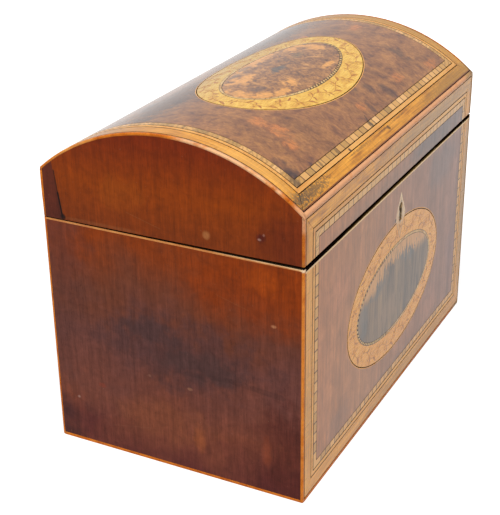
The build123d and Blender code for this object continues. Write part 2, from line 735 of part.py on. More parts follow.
def lock_spring():
    """Bent strip between the selvedge and the bolt that keeps the bolt where it is put."""
    low, high = BOLT_BAR_Z + BOLT_BAR + BOLT_CLEARANCE, BOX_HEIGHT - SELVEDGE
    radius, middle = (high - low) / 2, (high + low) / 2
    y = (BOLT_FRONT_Y, BOLT_BACK_Y)
    ring = rod_y(radius, KEY_X - SPRING_LEG, y, middle)
    ring -= rod_y(radius - SPRING_STRIP, KEY_X - SPRING_LEG, y, middle)
    ring -= block((KEY_X - SPRING_LEG, KEY_X), y, (low - OVER, high + OVER))
    x = (KEY_X - SPRING_LEG, KEY_X)
    return ring + block(x, y, (low, low + SPRING_STRIP)) + block(x, y, (high - SPRING_STRIP, high))


def link_plate(screws):
    """Plate in the lid's front rail with the two hooks that drop into the lock."""
    wide = SELVEDGE_LENGTH / 2
    plate_z = (LINK_PLATE_Z, LINK_PLATE_Z + SELVEDGE)
    plate = block((KEY_X - wide, KEY_X + wide), (LOCK_FRONT_Y, LOCK_FACE_Y), plate_z)
    y = (BOLT_FRONT_Y, BOLT_BACK_Y)
    nose_top = BOLT_BAR_Z + CLAW_RISE - CLAW_TIP - HOOK_CLEARANCE
    nose_z = (nose_top - HOOK_NOSE_HEIGHT, nose_top)
    for x in HOOK_PLACES:
        plate += block((x, x + HOOK_POST), y, (nose_z[0], LINK_PLATE_Z))
        plate += block((x - HOOK_NOSE, x + HOOK_POST), y, nose_z)
    return plate - screws


def link_mortise():
    """Bed for the link plate in the lid's front rail."""
    wide = SELVEDGE_LENGTH / 2
    y = (LOCK_FRONT_Y, LOCK_FACE_Y + OVER)
    return block((KEY_X - wide, KEY_X + wide), y, (BOX_HEIGHT, LINK_PLATE_Z + SELVEDGE))


def box_carcass(pieces, screws):
    """Base and four walls of the box under the veneers."""
    z = (0, BOX_HEIGHT)
    front = block((-OUTER_X, OUTER_X), (-OUTER_Y, -INNER_Y), z)
    back = block((-OUTER_X, OUTER_X), (INNER_Y, OUTER_Y), z)
    pieces["carcass_front"] = front - EDGE_STRINGS - lock_mortise() - keyhole() - screws
    pieces["carcass_back"] = back - EDGE_STRINGS - leaf_mortises(False) - hinge_reliefs() - screws
    for name, side in (("left", -1), ("right", 1)):
        x = sorted((side * OUTER_X, side * INNER_X))
        pieces[f"carcass_{name}"] = block(x, (-INNER_Y, INNER_Y), z) - EDGE_STRINGS
    pieces["base_board"] = block((-INNER_X, INNER_X), (-INNER_Y, INNER_Y), (0, BASE_BOARD))


def lid_carcass(pieces, screws):
    """Rails, arched ends and bent board of the lid under the veneers."""
    under_radius = DOME_RADIUS - VENEER - DOME_BOARD
    z = (BOX_HEIGHT, TOP_Z)
    under = rod_x(under_radius, (-HALF_LENGTH, HALF_LENGTH), 0, DOME_CENTRE_Z)
    front = block((-OUTER_X, OUTER_X), (-OUTER_Y, -INNER_Y), z) & under
    back = block((-OUTER_X, OUTER_X), (INNER_Y, OUTER_Y), z) & under
    pieces["lid_front_rail"] = lid_part(front) - EDGE_STRINGS - link_mortise() - screws
    back_rail = lid_part(back) - EDGE_STRINGS - leaf_mortises(True) - hinge_reliefs()
    pieces["lid_back_rail"] = back_rail - screws
    for name, side in (("left", -1), ("right", 1)):
        x = sorted((side * OUTER_X, side * INNER_X))
        end = block(x, (-INNER_Y, INNER_Y), z) & under
        pieces[f"lid_end_{name}"] = lid_part(end)
    sides = block((-OUTER_X, OUTER_X), (-OUTER_Y, OUTER_Y), (BOX_HEIGHT, TOP_Z))
    arc = about_top(DOME_HALF_ANGLE + OVER_ANGLE)
    radii = (under_radius, DOME_RADIUS - VENEER)
    board = ring_sector(radii, arc, (-OUTER_X, OUTER_X), (0, DOME_CENTRE_Z))
    pieces["lid_dome_board"] = (board & sides) - EDGE_STRINGS


def lining_solid():
    """All linings and the division in one piece, before they are parted."""
    top = BOX_HEIGHT + LIP_HEIGHT
    outer = block((-INNER_X, INNER_X), (-INNER_Y, INNER_Y), (BASE_BOARD, top))
    lip_x, lip_y = INNER_X - LIP_CLEARANCE, INNER_Y - LIP_CLEARANCE
    lip = block((-lip_x, lip_x), (-lip_y, lip_y), (BOX_HEIGHT, top))
    lip = chamfer(lip.edges().group_by(Axis.Z)[-1], LIP_ROUND)
    above = block((-INNER_X, INNER_X), (-INNER_Y, INNER_Y), (BOX_HEIGHT, top))
    ledge = block((-LEDGE_X, LEDGE_X), (-LEDGE_Y, LEDGE_Y), (LEDGE_Z, top + OVER))
    return (outer - above + lip) - ledge


def linings(pieces):
    """Linings of the four walls, and the division between the tea compartments."""
    whole = lining_solid()
    top = BOX_HEIGHT + LIP_HEIGHT
    z = (BASE_BOARD, top)
    across = (-INNER_X, INNER_X)
    front = block(across, (-INNER_Y, -LINED_Y), z)
    back = block(across, (LINED_Y, INNER_Y), z)
    left = block((-INNER_X, -LINED_X), (-LINED_Y, LINED_Y), z)
    right = block((LINED_X, INNER_X), (-LINED_Y, LINED_Y), z)
    pieces["lining_front"] = whole & front
    pieces["lining_back"] = whole & back
    pieces["lining_left"] = whole & left
    pieces["lining_right"] = whole & right
    half = DIVISION / 2
    neck = half - LEDGE_WIDTH
    division = block((-half, half), (-LINED_Y, LINED_Y), (BASE_BOARD, LEDGE_Z))
    division += block((-neck, neck), (-LINED_Y, LINED_Y), (LEDGE_Z, LEDGE_Z + INNER_LID))
    pieces["division"] = division


def knob(x):
    """Turned knob of plain cones, foot, neck and head, with a spigot through the inner lid."""
    z = LEDGE_Z + INNER_LID
    profile = (
        (KNOB_FOOT_RADIUS, 0),
        (KNOB_FOOT_RADIUS, KNOB_FOOT_HEIGHT),
        (KNOB_NECK_RADIUS, KNOB_WAIST_HEIGHT),
        (KNOB_RADIUS, KNOB_WIDEST_HEIGHT),
        (KNOB_CROWN_RADIUS, KNOB_HEIGHT),
    )
    points = [(0, z - INNER_LID), (KNOB_SPIGOT_RADIUS, z - INNER_LID), (KNOB_SPIGOT_RADIUS, z)]
    points += [(radius, z + height) for radius, height in profile]
    points.append((0, z + KNOB_HEIGHT))
    return Pos(x, 0, 0) * revolve(Plane.XZ * make_face(Polyline(*points, close=True)), Axis.Z)


def inner_lids(pieces):
    """Two lift-out lids with their knobs."""
    inside = DIVISION / 2 - LEDGE_WIDTH + INNER_LID_CLEARANCE
    outside = LEDGE_X - INNER_LID_CLEARANCE
    y = LEDGE_Y - INNER_LID_CLEARANCE
    for name, side in (("left", -1), ("right", 1)):
        x = sorted((side * inside, side * outside))
        plate = block(x, (-y, y), (LEDGE_Z, LEDGE_Z + INNER_LID))
        middle = side * (inside + outside) / 2
        edges = plate.edges().group_by(Axis.Z)[-1]
        hole = Pos(middle, 0, LEDGE_Z + INNER_LID / 2) * Cylinder(KNOB_SPIGOT_RADIUS, INNER_LID)
        pieces[f"inner_lid_{name}"] = chamfer(edges, INNER_LID / 4) - hole
        pieces[f"knob_{name}"] = knob(middle)


def build():
    """Every piece of the caddy by name."""
    pieces = {}
    box_screws, lid_screws = screw_set(lid=False), screw_set(lid=True)
    pieces["box_screws"], pieces["lid_screws"] = box_screws, lid_screws
    box_carcass(pieces, box_screws)
    lid_carcass(pieces, lid_screws)
    plain_skins(pieces)
    front = front_inlays(pieces)
    lid_inlays(pieces, front)
    hinges(pieces, box_screws, lid_screws)
    lock_case(pieces, box_screws)
    pieces["lock_bolt"] = lock_bolt()
    pieces["lock_spring"] = lock_spring()
    pieces["link_plate"] = link_plate(lid_screws)
    linings(pieces)
    inner_lids(pieces)
    return pieces


def solids_of(piece):
    """The solids of one node, given as a shape or as a list of shapes."""
    shapes = piece if isinstance(piece, list) else [piece]
    return [solid for shape in shapes for solid in shape.solids()]


os.makedirs("parts", exist_ok=True)
for node, piece in build().items():
    solids = solids_of(piece)
    export_step(solids[0] if len(solids) == 1 else Compound(children=solids), f"parts/{node}.step")
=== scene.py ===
"""Looks of a domed, inlaid tea caddy: veneers, strings, ovals, fittings and a pale studio."""

from __future__ import annotations

import logging
import math
import random
from abc import ABC, abstractmethod
from dataclasses import dataclass
from enum import Enum
from typing import Iterable, Sequence

import bmesh
import bpy
from mathutils import Matrix, Vector, noise


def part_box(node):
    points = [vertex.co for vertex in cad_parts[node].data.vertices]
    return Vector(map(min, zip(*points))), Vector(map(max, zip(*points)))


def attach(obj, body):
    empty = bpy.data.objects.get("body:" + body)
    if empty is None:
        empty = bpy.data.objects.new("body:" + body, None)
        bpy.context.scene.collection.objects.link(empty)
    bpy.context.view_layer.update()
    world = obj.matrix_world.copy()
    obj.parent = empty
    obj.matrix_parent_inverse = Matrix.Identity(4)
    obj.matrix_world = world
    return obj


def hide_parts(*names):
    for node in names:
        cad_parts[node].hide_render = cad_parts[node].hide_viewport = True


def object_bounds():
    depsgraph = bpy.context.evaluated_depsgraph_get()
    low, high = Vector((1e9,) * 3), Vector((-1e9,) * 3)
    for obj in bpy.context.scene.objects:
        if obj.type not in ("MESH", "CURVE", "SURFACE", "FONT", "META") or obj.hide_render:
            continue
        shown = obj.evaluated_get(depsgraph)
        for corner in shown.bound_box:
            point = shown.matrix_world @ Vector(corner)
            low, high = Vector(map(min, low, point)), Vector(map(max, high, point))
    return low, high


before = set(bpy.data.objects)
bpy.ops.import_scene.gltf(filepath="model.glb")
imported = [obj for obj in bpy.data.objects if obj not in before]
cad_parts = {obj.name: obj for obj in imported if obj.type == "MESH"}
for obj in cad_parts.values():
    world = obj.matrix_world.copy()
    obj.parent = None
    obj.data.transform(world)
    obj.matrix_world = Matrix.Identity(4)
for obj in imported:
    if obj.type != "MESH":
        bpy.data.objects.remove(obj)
CAD_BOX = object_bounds()

MM = 0.001
HALF_LENGTH = CAD_BOX[1].x
HALF_DEPTH = -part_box("veneer_front")[0].y
TOP_Z = CAD_BOX[1].z
DOME_RISE = 21.5 * MM
SEAM_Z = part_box("carcass_front")[1].z
UNDER_SKIN = 2 * MM
LOG = logging.getLogger("caddy")

# Places and sizes of the ovals and the escutcheon, in millimetres
FRONT_OVAL_MIDDLE = (0.3, 52.5)
FRONT_OVAL_HALF = (54.0, 30.8)
DOME_OVAL_X = -2.0
DOME_OVAL_FORWARD = 3.5
DOME_OVAL_HALF = (54.2, 30.2)
OVAL_RINGS = 0.8
OVAL_BAND = 9.6
CHEQUER = 1.5
PANEL_INSET = OVAL_RINGS + OVAL_BAND + CHEQUER
ESCUTCHEON_MIDDLE = (3.1, 84.7)

# Stretch of the dome's arc over which painted shade and a grey sheen grow towards the back, in millimetres
BACK_SHADE_SPAN = (56, 92)

Colour = tuple[float, float, float, float]
Stops = Sequence[tuple[float, str]]
Socket = bpy.types.NodeSocket
Places = dict[str, tuple[float, float]]


def paint(code: str) -> Colour:
    """Turns a written colour into the linear colour that a shader takes.

    Args:
        code: Six hexadecimal digits after a hash, as a paint chart gives them.

    Returns:
        Linear red, green and blue, with an alpha of 1.
    """
    parts = [int(code[place:place + 2], 16) / 255 for place in (1, 3, 5)]
    linear = [part / 12.92 if part <= 0.04045 else ((part + 0.055) / 1.055) ** 2.4 for part in parts]
    return (linear[0], linear[1], linear[2], 1.0)


class Face(Enum):
    """Which face a band or an oval lies on."""

    FRONT = "front"
    DOME = "lid"


class Finish(Enum):
    """The finishes that the caddy's pieces wear."""

    END = "end_veneer"
    FRONT_FIELD = "front_field"
    DOME_FIELD = "dome_field"
    FRONT_CROSS = "front_crossbanding"
    DOME_CROSS = "dome_crossbanding"
    DARK_LINE = "dark_line"
    LIGHT_LINE = "light_line"
    RIM_STRING = "rim_string"
    EDGE_STRING = "edge_string"
    LADDER_BLOCK = "ladder_block"
    ARCH_BLOCK = "arch_ladder_block"
    LADDER_RUNG = "ladder_rung"
    FRONT_BAND = "front_oval_band"
    DOME_BAND = "dome_oval_band"
    GREY_PANEL = "grey_panel"
    BURR_PANEL = "burr_panel"
    CHEQUER = "chequer_block"
    CHEQUER_RING = "chequer_ring"
    VINE = "vine"
    BONE = "bone"
    CARCASS = "carcass_wood"
    LINING = "lining_wood"
    KNOB = "knob_wood"
    BRASS = "brass"
    SCREW_BRASS = "screw_brass"
    STEEL = "steel"


Shelf = dict[Finish, bpy.types.Material]


@dataclass(frozen=True)
class Dome:
    """The arch of the lid as a sheet: across is X, along is the arc from the front spring line."""

    half_depth: float = HALF_DEPTH
    rise: float = DOME_RISE
    top_z: float = TOP_Z

    @property
    def radius(self) -> float:
        """Radius of the arch."""
        return (self.half_depth ** 2 + self.rise ** 2) / (2 * self.rise)

    @property
    def centre_z(self) -> float:
        """Height of the arch's centre."""
        return self.top_z - self.radius

    @property
    def spring_z(self) -> float:
        """Height where the arch meets the upright sides."""
        return self.top_z - self.rise

    @property
    def half_angle(self) -> float:
        """Half of the angle that the arch spans."""
        return math.asin(self.half_depth / self.radius)

    @property
    def half_arc(self) -> float:
        """Arc length from a spring line to the top."""
        return self.half_angle * self.radius

    def place(self, across: float, along: float, lift: float = 0.0) -> Vector:
        """Gives a point of the sheet.

        Args:
            across: Along X.
            along: Arc length from the front spring line.
            lift: Height above the sheet.

        Returns:
            The point in the caddy's frame.
        """
        angle = self.half_angle - along / self.radius
        reach = self.radius + lift
        return Vector((across, -reach * math.sin(angle), self.centre_z + reach * math.cos(angle)))


DOME = Dome()


@dataclass(frozen=True)
class FrontFace:
    """The front of the box as a sheet: across is X, along is Z."""

    front_y: float = -HALF_DEPTH

    def place(self, across: float, along: float, lift: float = 0.0) -> Vector:
        """Gives the point at a place along X and Z, and a height in front of the sheet."""
        return Vector((across, self.front_y - lift, along))


@dataclass(frozen=True)
class Mark:
    """A stain, flash, dent, painted shade or painted highlight: an ellipse with a ragged outline, in
    millimetres.
    """

    places: Places
    colour: str
    strength: float = 0.8
    ragged: float = 0.5


def on_left(across: tuple[float, float], up: tuple[float, float], colour: str, strength: float,
            ragged: float) -> Mark:
    """Gives a mark that shows on the left end alone, from its places along Y and Z."""
    return Mark({"X": (-95, 60), "Y": across, "Z": up}, colour, strength, ragged)


def on_dome(places: Iterable[Sequence[float]], colour: str, strength: float, ragged: float) -> list[Mark]:
    """Gives alike marks on the dome, from the middle and half size of each along X and the arc."""
    return [Mark({"X": (x, wide), "S": (s, high)}, colour, strength, ragged) for x, s, wide, high in places]


@dataclass(frozen=True)
class Stroke:
    """A crack or scratch: a straight stretch on two axes, in millimetres."""

    axes: str
    start: tuple[float, float]
    end: tuple[float, float]
    half: float
    colour: str
    strength: float = 1.0


@dataclass(frozen=True)
class SeamShade:
    """Painted shade on the level faces where box and lid meet, in millimetres: darkest at the outside."""

    level_from: float = 0.7
    above_seam: float = 0.6
    reach: float = 1.1
    patch: float = 5.0
    uneven: float = 2.4
    dark_within: float = 2.6
    faint_beyond: float = 6.0
    dark: float = 0.94
    faint: float = 0.14
    colour: str = "#0d0704"


SEAM_SHADE = SeamShade()


class Wiring:
    """One material's nodes, wired a call at a time."""

    def __init__(self, name: str) -> None:
        """Starts an empty material.

        Args:
            name: What the material is called in the file.
        """
        self.material = bpy.data.materials.new(name)
        self.material.use_nodes = True
        self.tree = self.material.node_tree
        self.tree.nodes.clear()
        self.axes: dict[str, Socket] = {}

    def add(self, kind: str, **settings: object) -> bpy.types.Node:
        """Adds a node.

        Args:
            kind: The node's type, without the ShaderNode in front.
            **settings: Properties to set on it.

        Returns:
            The new node.
        """
        node = self.tree.nodes.new("ShaderNode" + kind)
        for name, value in settings.items():
            setattr(node, name, value)
        return node

    def feed(self, socket: Socket, value: object) -> None:
        """Links a socket or sets its plain value.

        Args:
            socket: The input to fill.
            value: Another node's output, a number, a vector or a written colour.
        """
        if isinstance(value, Socket):
            self.tree.links.new(value, socket)
        elif isinstance(value, str):
            socket.default_value = paint(value)
        else:
            socket.default_value = value

    def position(self) -> Socket:
        """Gives the surface point in the caddy's own frame.

        Returns:
            The point, or its place on the unrolled dome once unroll() has run.
        """
        if "point" not in self.axes:
            self.axes["point"] = self.add("TexCoord").outputs["Object"]
        return self.axes["point"]

    def axis(self, letter: str) -> Socket:
        """Gives one coordinate of the surface point.

        Args:
            letter: X, Y or Z, or S for the arc length once the dome is unrolled.

        Returns:
            That coordinate, in metres.
        """
        if letter not in self.axes:
            parts = self.add("SeparateXYZ")
            self.feed(parts.inputs[0], self.position())
            self.axes.update({name: parts.outputs[name] for name in "XYZ"})
        return self.axes[letter]

    def unroll(self) -> None:
        """Measures the dome flat, along X and along its arc, so that patterns follow the curve."""
        above = self.sum("SUBTRACT", self.axis("Z"), DOME.centre_z)
        angle = self.sum("ARCTAN2", self.sum("MULTIPLY", self.axis("Y"), -1.0), above)
        arc = self.sum("MULTIPLY", self.sum("SUBTRACT", DOME.half_angle, angle), DOME.radius)
        flat = self.add("CombineXYZ")
        self.feed(flat.inputs["X"], self.axis("X"))
        self.feed(flat.inputs["Y"], arc)
        self.axes["S"] = arc
        self.axes["point"] = flat.outputs[0]

    def stretched(self, sizes: tuple[float, float, float], turn: float = 0.0, offset: float = 0.0) -> Socket:
        """Gives the surface point measured in steps of its own along each axis.

        Args:
            sizes: Length of one step along X, Y and Z, in millimetres.
            turn: Lean of the pattern about Z, in radians.
            offset: Shift of the pattern, in its own steps.

        Returns:
            The measured point.
        """
        mapping = self.add("Mapping", vector_type="TEXTURE")
        self.feed(mapping.inputs["Vector"], self.position())
        mapping.inputs["Scale"].default_value = [size * MM for size in sizes]
        mapping.inputs["Rotation"].default_value = (0, 0, turn)
        mapping.inputs["Location"].default_value = [-offset * size * MM for size in sizes]
        return mapping.outputs[0]

    def cloud(self, vector: Socket, detail: float = 3, rough: float = 0.5, warp: float = 0) -> Socket:
        """Gives soft noise, about one patch to a step.

        Args:
            vector: Where to read it.
            detail: Octaves of finer noise.
            rough: Share that each finer octave keeps.
            warp: How far the pattern swirls.

        Returns:
            A value from 0 to 1.
        """
        node = self.add("TexNoise")
        self.feed(node.inputs["Vector"], vector)
        for name, value in (("Scale", 1), ("Detail", detail), ("Roughness", rough), ("Distortion", warp)):
            node.inputs[name].default_value = value
        return node.outputs["Fac"]

    def sum(self, operation: str, first: object, second: object = 0.0, third: object = 0.0) -> Socket:
        """Works out one step of arithmetic.

        Args:
            operation: A Math node's operation.
            first: First term.
            second: Second term.
            third: Third term, where the operation has one.

        Returns:
            The result.
        """
        node = self.add("Math", operation=operation)
        for socket, value in zip(node.inputs, (first, second, third)):
            self.feed(socket, value)
        return node.outputs[0]

    def both(self, first: object, second: object) -> Socket:
        """Multiplies two shares."""
        return self.sum("MULTIPLY", first, second)

    def blend(self, first: object, second: object, share: float) -> Socket:
        """Adds two values up by shares, the second by the share given and the first by the rest."""
        return self.sum("MULTIPLY_ADD", first, 1 - share, self.both(second, share))

    def span(self, value: object, low: float, high: float, start: float = 0.0, end: float = 1.0,
             soft: bool = True) -> Socket:
        """Maps a span of values onto another.

        Args:
            value: What is mapped.
            low: Value that gives start.
            high: Value that gives end.
            start: Result at low.
            end: Result at high.
            soft: Whether both ends ease in.

        Returns:
            The mapped value, held between start and end.
        """
        node = self.add("MapRange", interpolation_type="SMOOTHSTEP" if soft else "LINEAR", clamp=True)
        for name, given in (("Value", value), ("From Min", low), ("From Max", high), ("To Min", start),
                            ("To Max", end)):
            self.feed(node.inputs[name], given)
        return node.outputs["Result"]

    def ragged(self, size: float) -> Socket:
        """Gives the raggedness that marks share, from -1 to 1, with teeth of a size in millimetres."""
        return self.span(self.cloud(self.stretched((size, size, size)), 4, 0.6), 0.25, 0.75, -1.0, 1.0, False)

    def ramp(self, value: object, stops: Stops) -> Socket:
        """Turns a value into a colour.

        Args:
            value: From 0 to 1.
            stops: Places and the written colour at each.

        Returns:
            The colour.
        """
        node = self.add("ValToRGB")
        elements = node.color_ramp.elements
        while len(elements) < len(stops):
            elements.new(0.5)
        for element, (place, code) in zip(elements, stops):
            element.position = place
            element.color = paint(code)
        self.feed(node.inputs["Fac"], value)
        return node.outputs["Color"]

    def mix(self, share: object, first: object, second: object) -> Socket:
        """Lays one colour over another.

        Args:
            share: How much of the second shows.
            first: Colour underneath.
            second: Colour laid over it.

        Returns:
            The mixed colour.
        """
        node = self.add("Mix", data_type="RGBA")
        self.feed(node.inputs["Factor"], share)
        self.feed(node.inputs["A"], first)
        self.feed(node.inputs["B"], second)
        return next(out for out in node.outputs if out.type == "RGBA")

    def vary(self, colour: Socket, *figures: tuple[Socket, float]) -> Socket:
        """Makes a colour lighter and darker with one figure after another.

        Args:
            colour: The colour.
            *figures: A value from 0 to 1, and the share of the colour that comes and goes with it.

        Returns:
            The varied colour.
        """
        for value, amount in figures:
            node = self.add("VectorMath", operation="SCALE")
            self.feed(node.inputs[0], colour)
            self.feed(node.inputs["Scale"], self.span(value, 0.25, 0.75, 1 - amount, 1 + amount, False))
            colour = node.outputs[0]
        return colour

    def flecked(self, colour: Socket, figure: Socket, low: float, high: float, strength: float,
                code: str) -> Socket:
        """Lays a second colour where a figure is strong, such as pores and freckles.

        Args:
            colour: The colour underneath.
            figure: The figure, from 0 to 1.
            low: Value at which the second colour starts.
            high: Value at which it is strongest.
            strength: Share of it that shows there.
            code: The second colour, as written.

        Returns:
            The flecked colour.
        """
        return self.mix(self.span(figure, low, high, 0.0, strength), colour, code)

    def sheen(self, fibre: Socket, low: float, high: float) -> Socket:
        """Gives a roughness that comes and goes with the fibre, between two values."""
        return self.span(fibre, 0.2, 0.8, low, high)

    def stain(self, colour: Socket, marks: Iterable[Mark], ragged: Socket,
              broken: Socket | None = None) -> Socket:
        """Lays marks over a colour.

        Args:
            colour: The colour underneath.
            marks: The marks, lowest first.
            ragged: Raggedness from -1 to 1.
            broken: Share of each mark that shows, where it is broken up by the figure.

        Returns:
            The marked colour.
        """
        for mark in marks:
            total: object = self.both(ragged, mark.ragged)
            for letter, (middle, half) in mark.places.items():
                share = self.sum("DIVIDE", self.sum("SUBTRACT", self.axis(letter), middle * MM), half * MM)
                total = self.sum("MULTIPLY_ADD", share, share, total)
            share = self.span(total, 0.0, 1.0, mark.strength, 0.0)
            colour = self.mix(share if broken is None else self.both(share, broken), colour, mark.colour)
        return colour

    def scratch(self, colour: Socket, strokes: Iterable[Stroke], only: object = 1.0) -> Socket:
        """Draws cracks and scratches over a colour.

        Args:
            colour: The colour underneath.
            strokes: The strokes, lowest first.
            only: Share of the surface that takes them.

        Returns:
            The scratched colour.
        """
        for stroke in strokes:
            run = Vector(stroke.end) - Vector(stroke.start)
            first, second = (self.sum("SUBTRACT", self.axis(letter), place * MM)
                             for letter, place in zip(stroke.axes, stroke.start))
            along = self.sum("MULTIPLY_ADD", first, run.x / run.length_squared / MM,
                             self.both(second, run.y / run.length_squared / MM))
            share = self.span(along, 0.0, 1.0, 0.0, 1.0, False)
            across = self.sum("ABSOLUTE", self.sum("SUBTRACT", first, self.both(share, run.x * MM)))
            up = self.sum("ABSOLUTE", self.sum("SUBTRACT", second, self.both(share, run.y * MM)))
            near = self.span(self.sum("ADD", across, up), stroke.half * MM, stroke.half * 1.6 * MM,
                             stroke.strength, 0.0)
            colour = self.mix(self.both(near, only), colour, stroke.colour)
        return colour

    def shaded_to_back(self, colour: Socket) -> Socket:
        """Paints shade and a grey sheen on a colour of the dome towards its back."""
        near, far = (place * MM for place in BACK_SHADE_SPAN)
        # Painted shade with a grey sheen, growing towards the dome's back.
        return self.flecked(colour, self.axis("S"), near, far, 0.3, "#4c504e")

    def seam_shaded(self, colour: Socket) -> Socket:
        """Paints shade on the level faces where box and lid meet, so that the seam gap reads dark.

        Args:
            colour: The wood's own colour.

        Returns:
            The wood with its painted seam shade.
        """
        facing = self.add("SeparateXYZ")
        self.feed(facing.inputs[0], self.add("TexCoord").outputs["Normal"])
        level = self.sum("GREATER_THAN", self.sum("ABSOLUTE", facing.outputs["Z"]), SEAM_SHADE.level_from)
        parts = self.add("SeparateXYZ")
        self.feed(parts.inputs[0], self.add("TexCoord").outputs["Object"])
        seam = SEAM_Z + SEAM_SHADE.above_seam * MM
        at_seam = self.sum("COMPARE", parts.outputs["Z"], seam, SEAM_SHADE.reach * MM)
        to_end = self.sum("SUBTRACT", HALF_LENGTH, self.sum("ABSOLUTE", parts.outputs["X"]))
        to_side = self.sum("SUBTRACT", HALF_DEPTH, self.sum("ABSOLUTE", parts.outputs["Y"]))
        patches = self.cloud(self.stretched((SEAM_SHADE.patch,) * 3), 3, 0.6)
        uneven = self.span(patches, 0.3, 0.7, 0.0, SEAM_SHADE.uneven * MM, False)
        inwards = self.sum("ADD", self.sum("MINIMUM", to_end, to_side), uneven)
        # Painted shade: the level faces at the seam are darkened towards the outer edges, so that the gap
        # reads dark.
        shade_share = self.span(inwards, SEAM_SHADE.dark_within * MM, SEAM_SHADE.faint_beyond * MM, SEAM_SHADE.dark,
                         SEAM_SHADE.faint)
        return self.mix(self.both(self.both(level, at_seam), shade_share), colour, SEAM_SHADE.colour)

    def relief(self, height: object, depth: float) -> Socket:
        """Gives the surface a fine relief.

        Args:
            height: Height, from 0 to 1.
            depth: What a height of 1 stands for, in millimetres.

        Returns:
            The surface direction.
        """
        node = self.add("Bump")
        node.inputs["Strength"].default_value = 1
        node.inputs["Distance"].default_value = depth * MM
        self.feed(node.inputs["Height"], height)
        return node.outputs["Normal"]

    def polished(self, colour: object, roughness: object, normal: Socket | None = None, metal: float = 0.0,
                 gloss: float = 0.3) -> bpy.types.Material:
        """Ends the material with a polished surface.

        Args:
            colour: Surface colour.
            roughness: From mirror to matt.
            normal: Surface direction, where there is relief.
            metal: 1 for metal.
            gloss: Level of the plain reflection.

        Returns:
            The finished material.
        """
        shader = self.add("BsdfPrincipled")
        self.feed(shader.inputs["Base Color"], colour)
        self.feed(shader.inputs["Roughness"], roughness)
        shader.inputs["Metallic"].default_value = metal
        shader.inputs["Specular IOR Level"].default_value = gloss
        if normal is not None:
            self.feed(shader.inputs["Normal"], normal)
        self.feed(self.add("OutputMaterial").inputs["Surface"], shader.outputs[0])
        return self.material


class Recipe(ABC):
    """How one finish is made."""

    @abstractmethod
    def material(self, name: str) -> bpy.types.Material:
        """Makes the finish.

        Args:
            name: What the material is called.

        Returns:
            The material.
        """


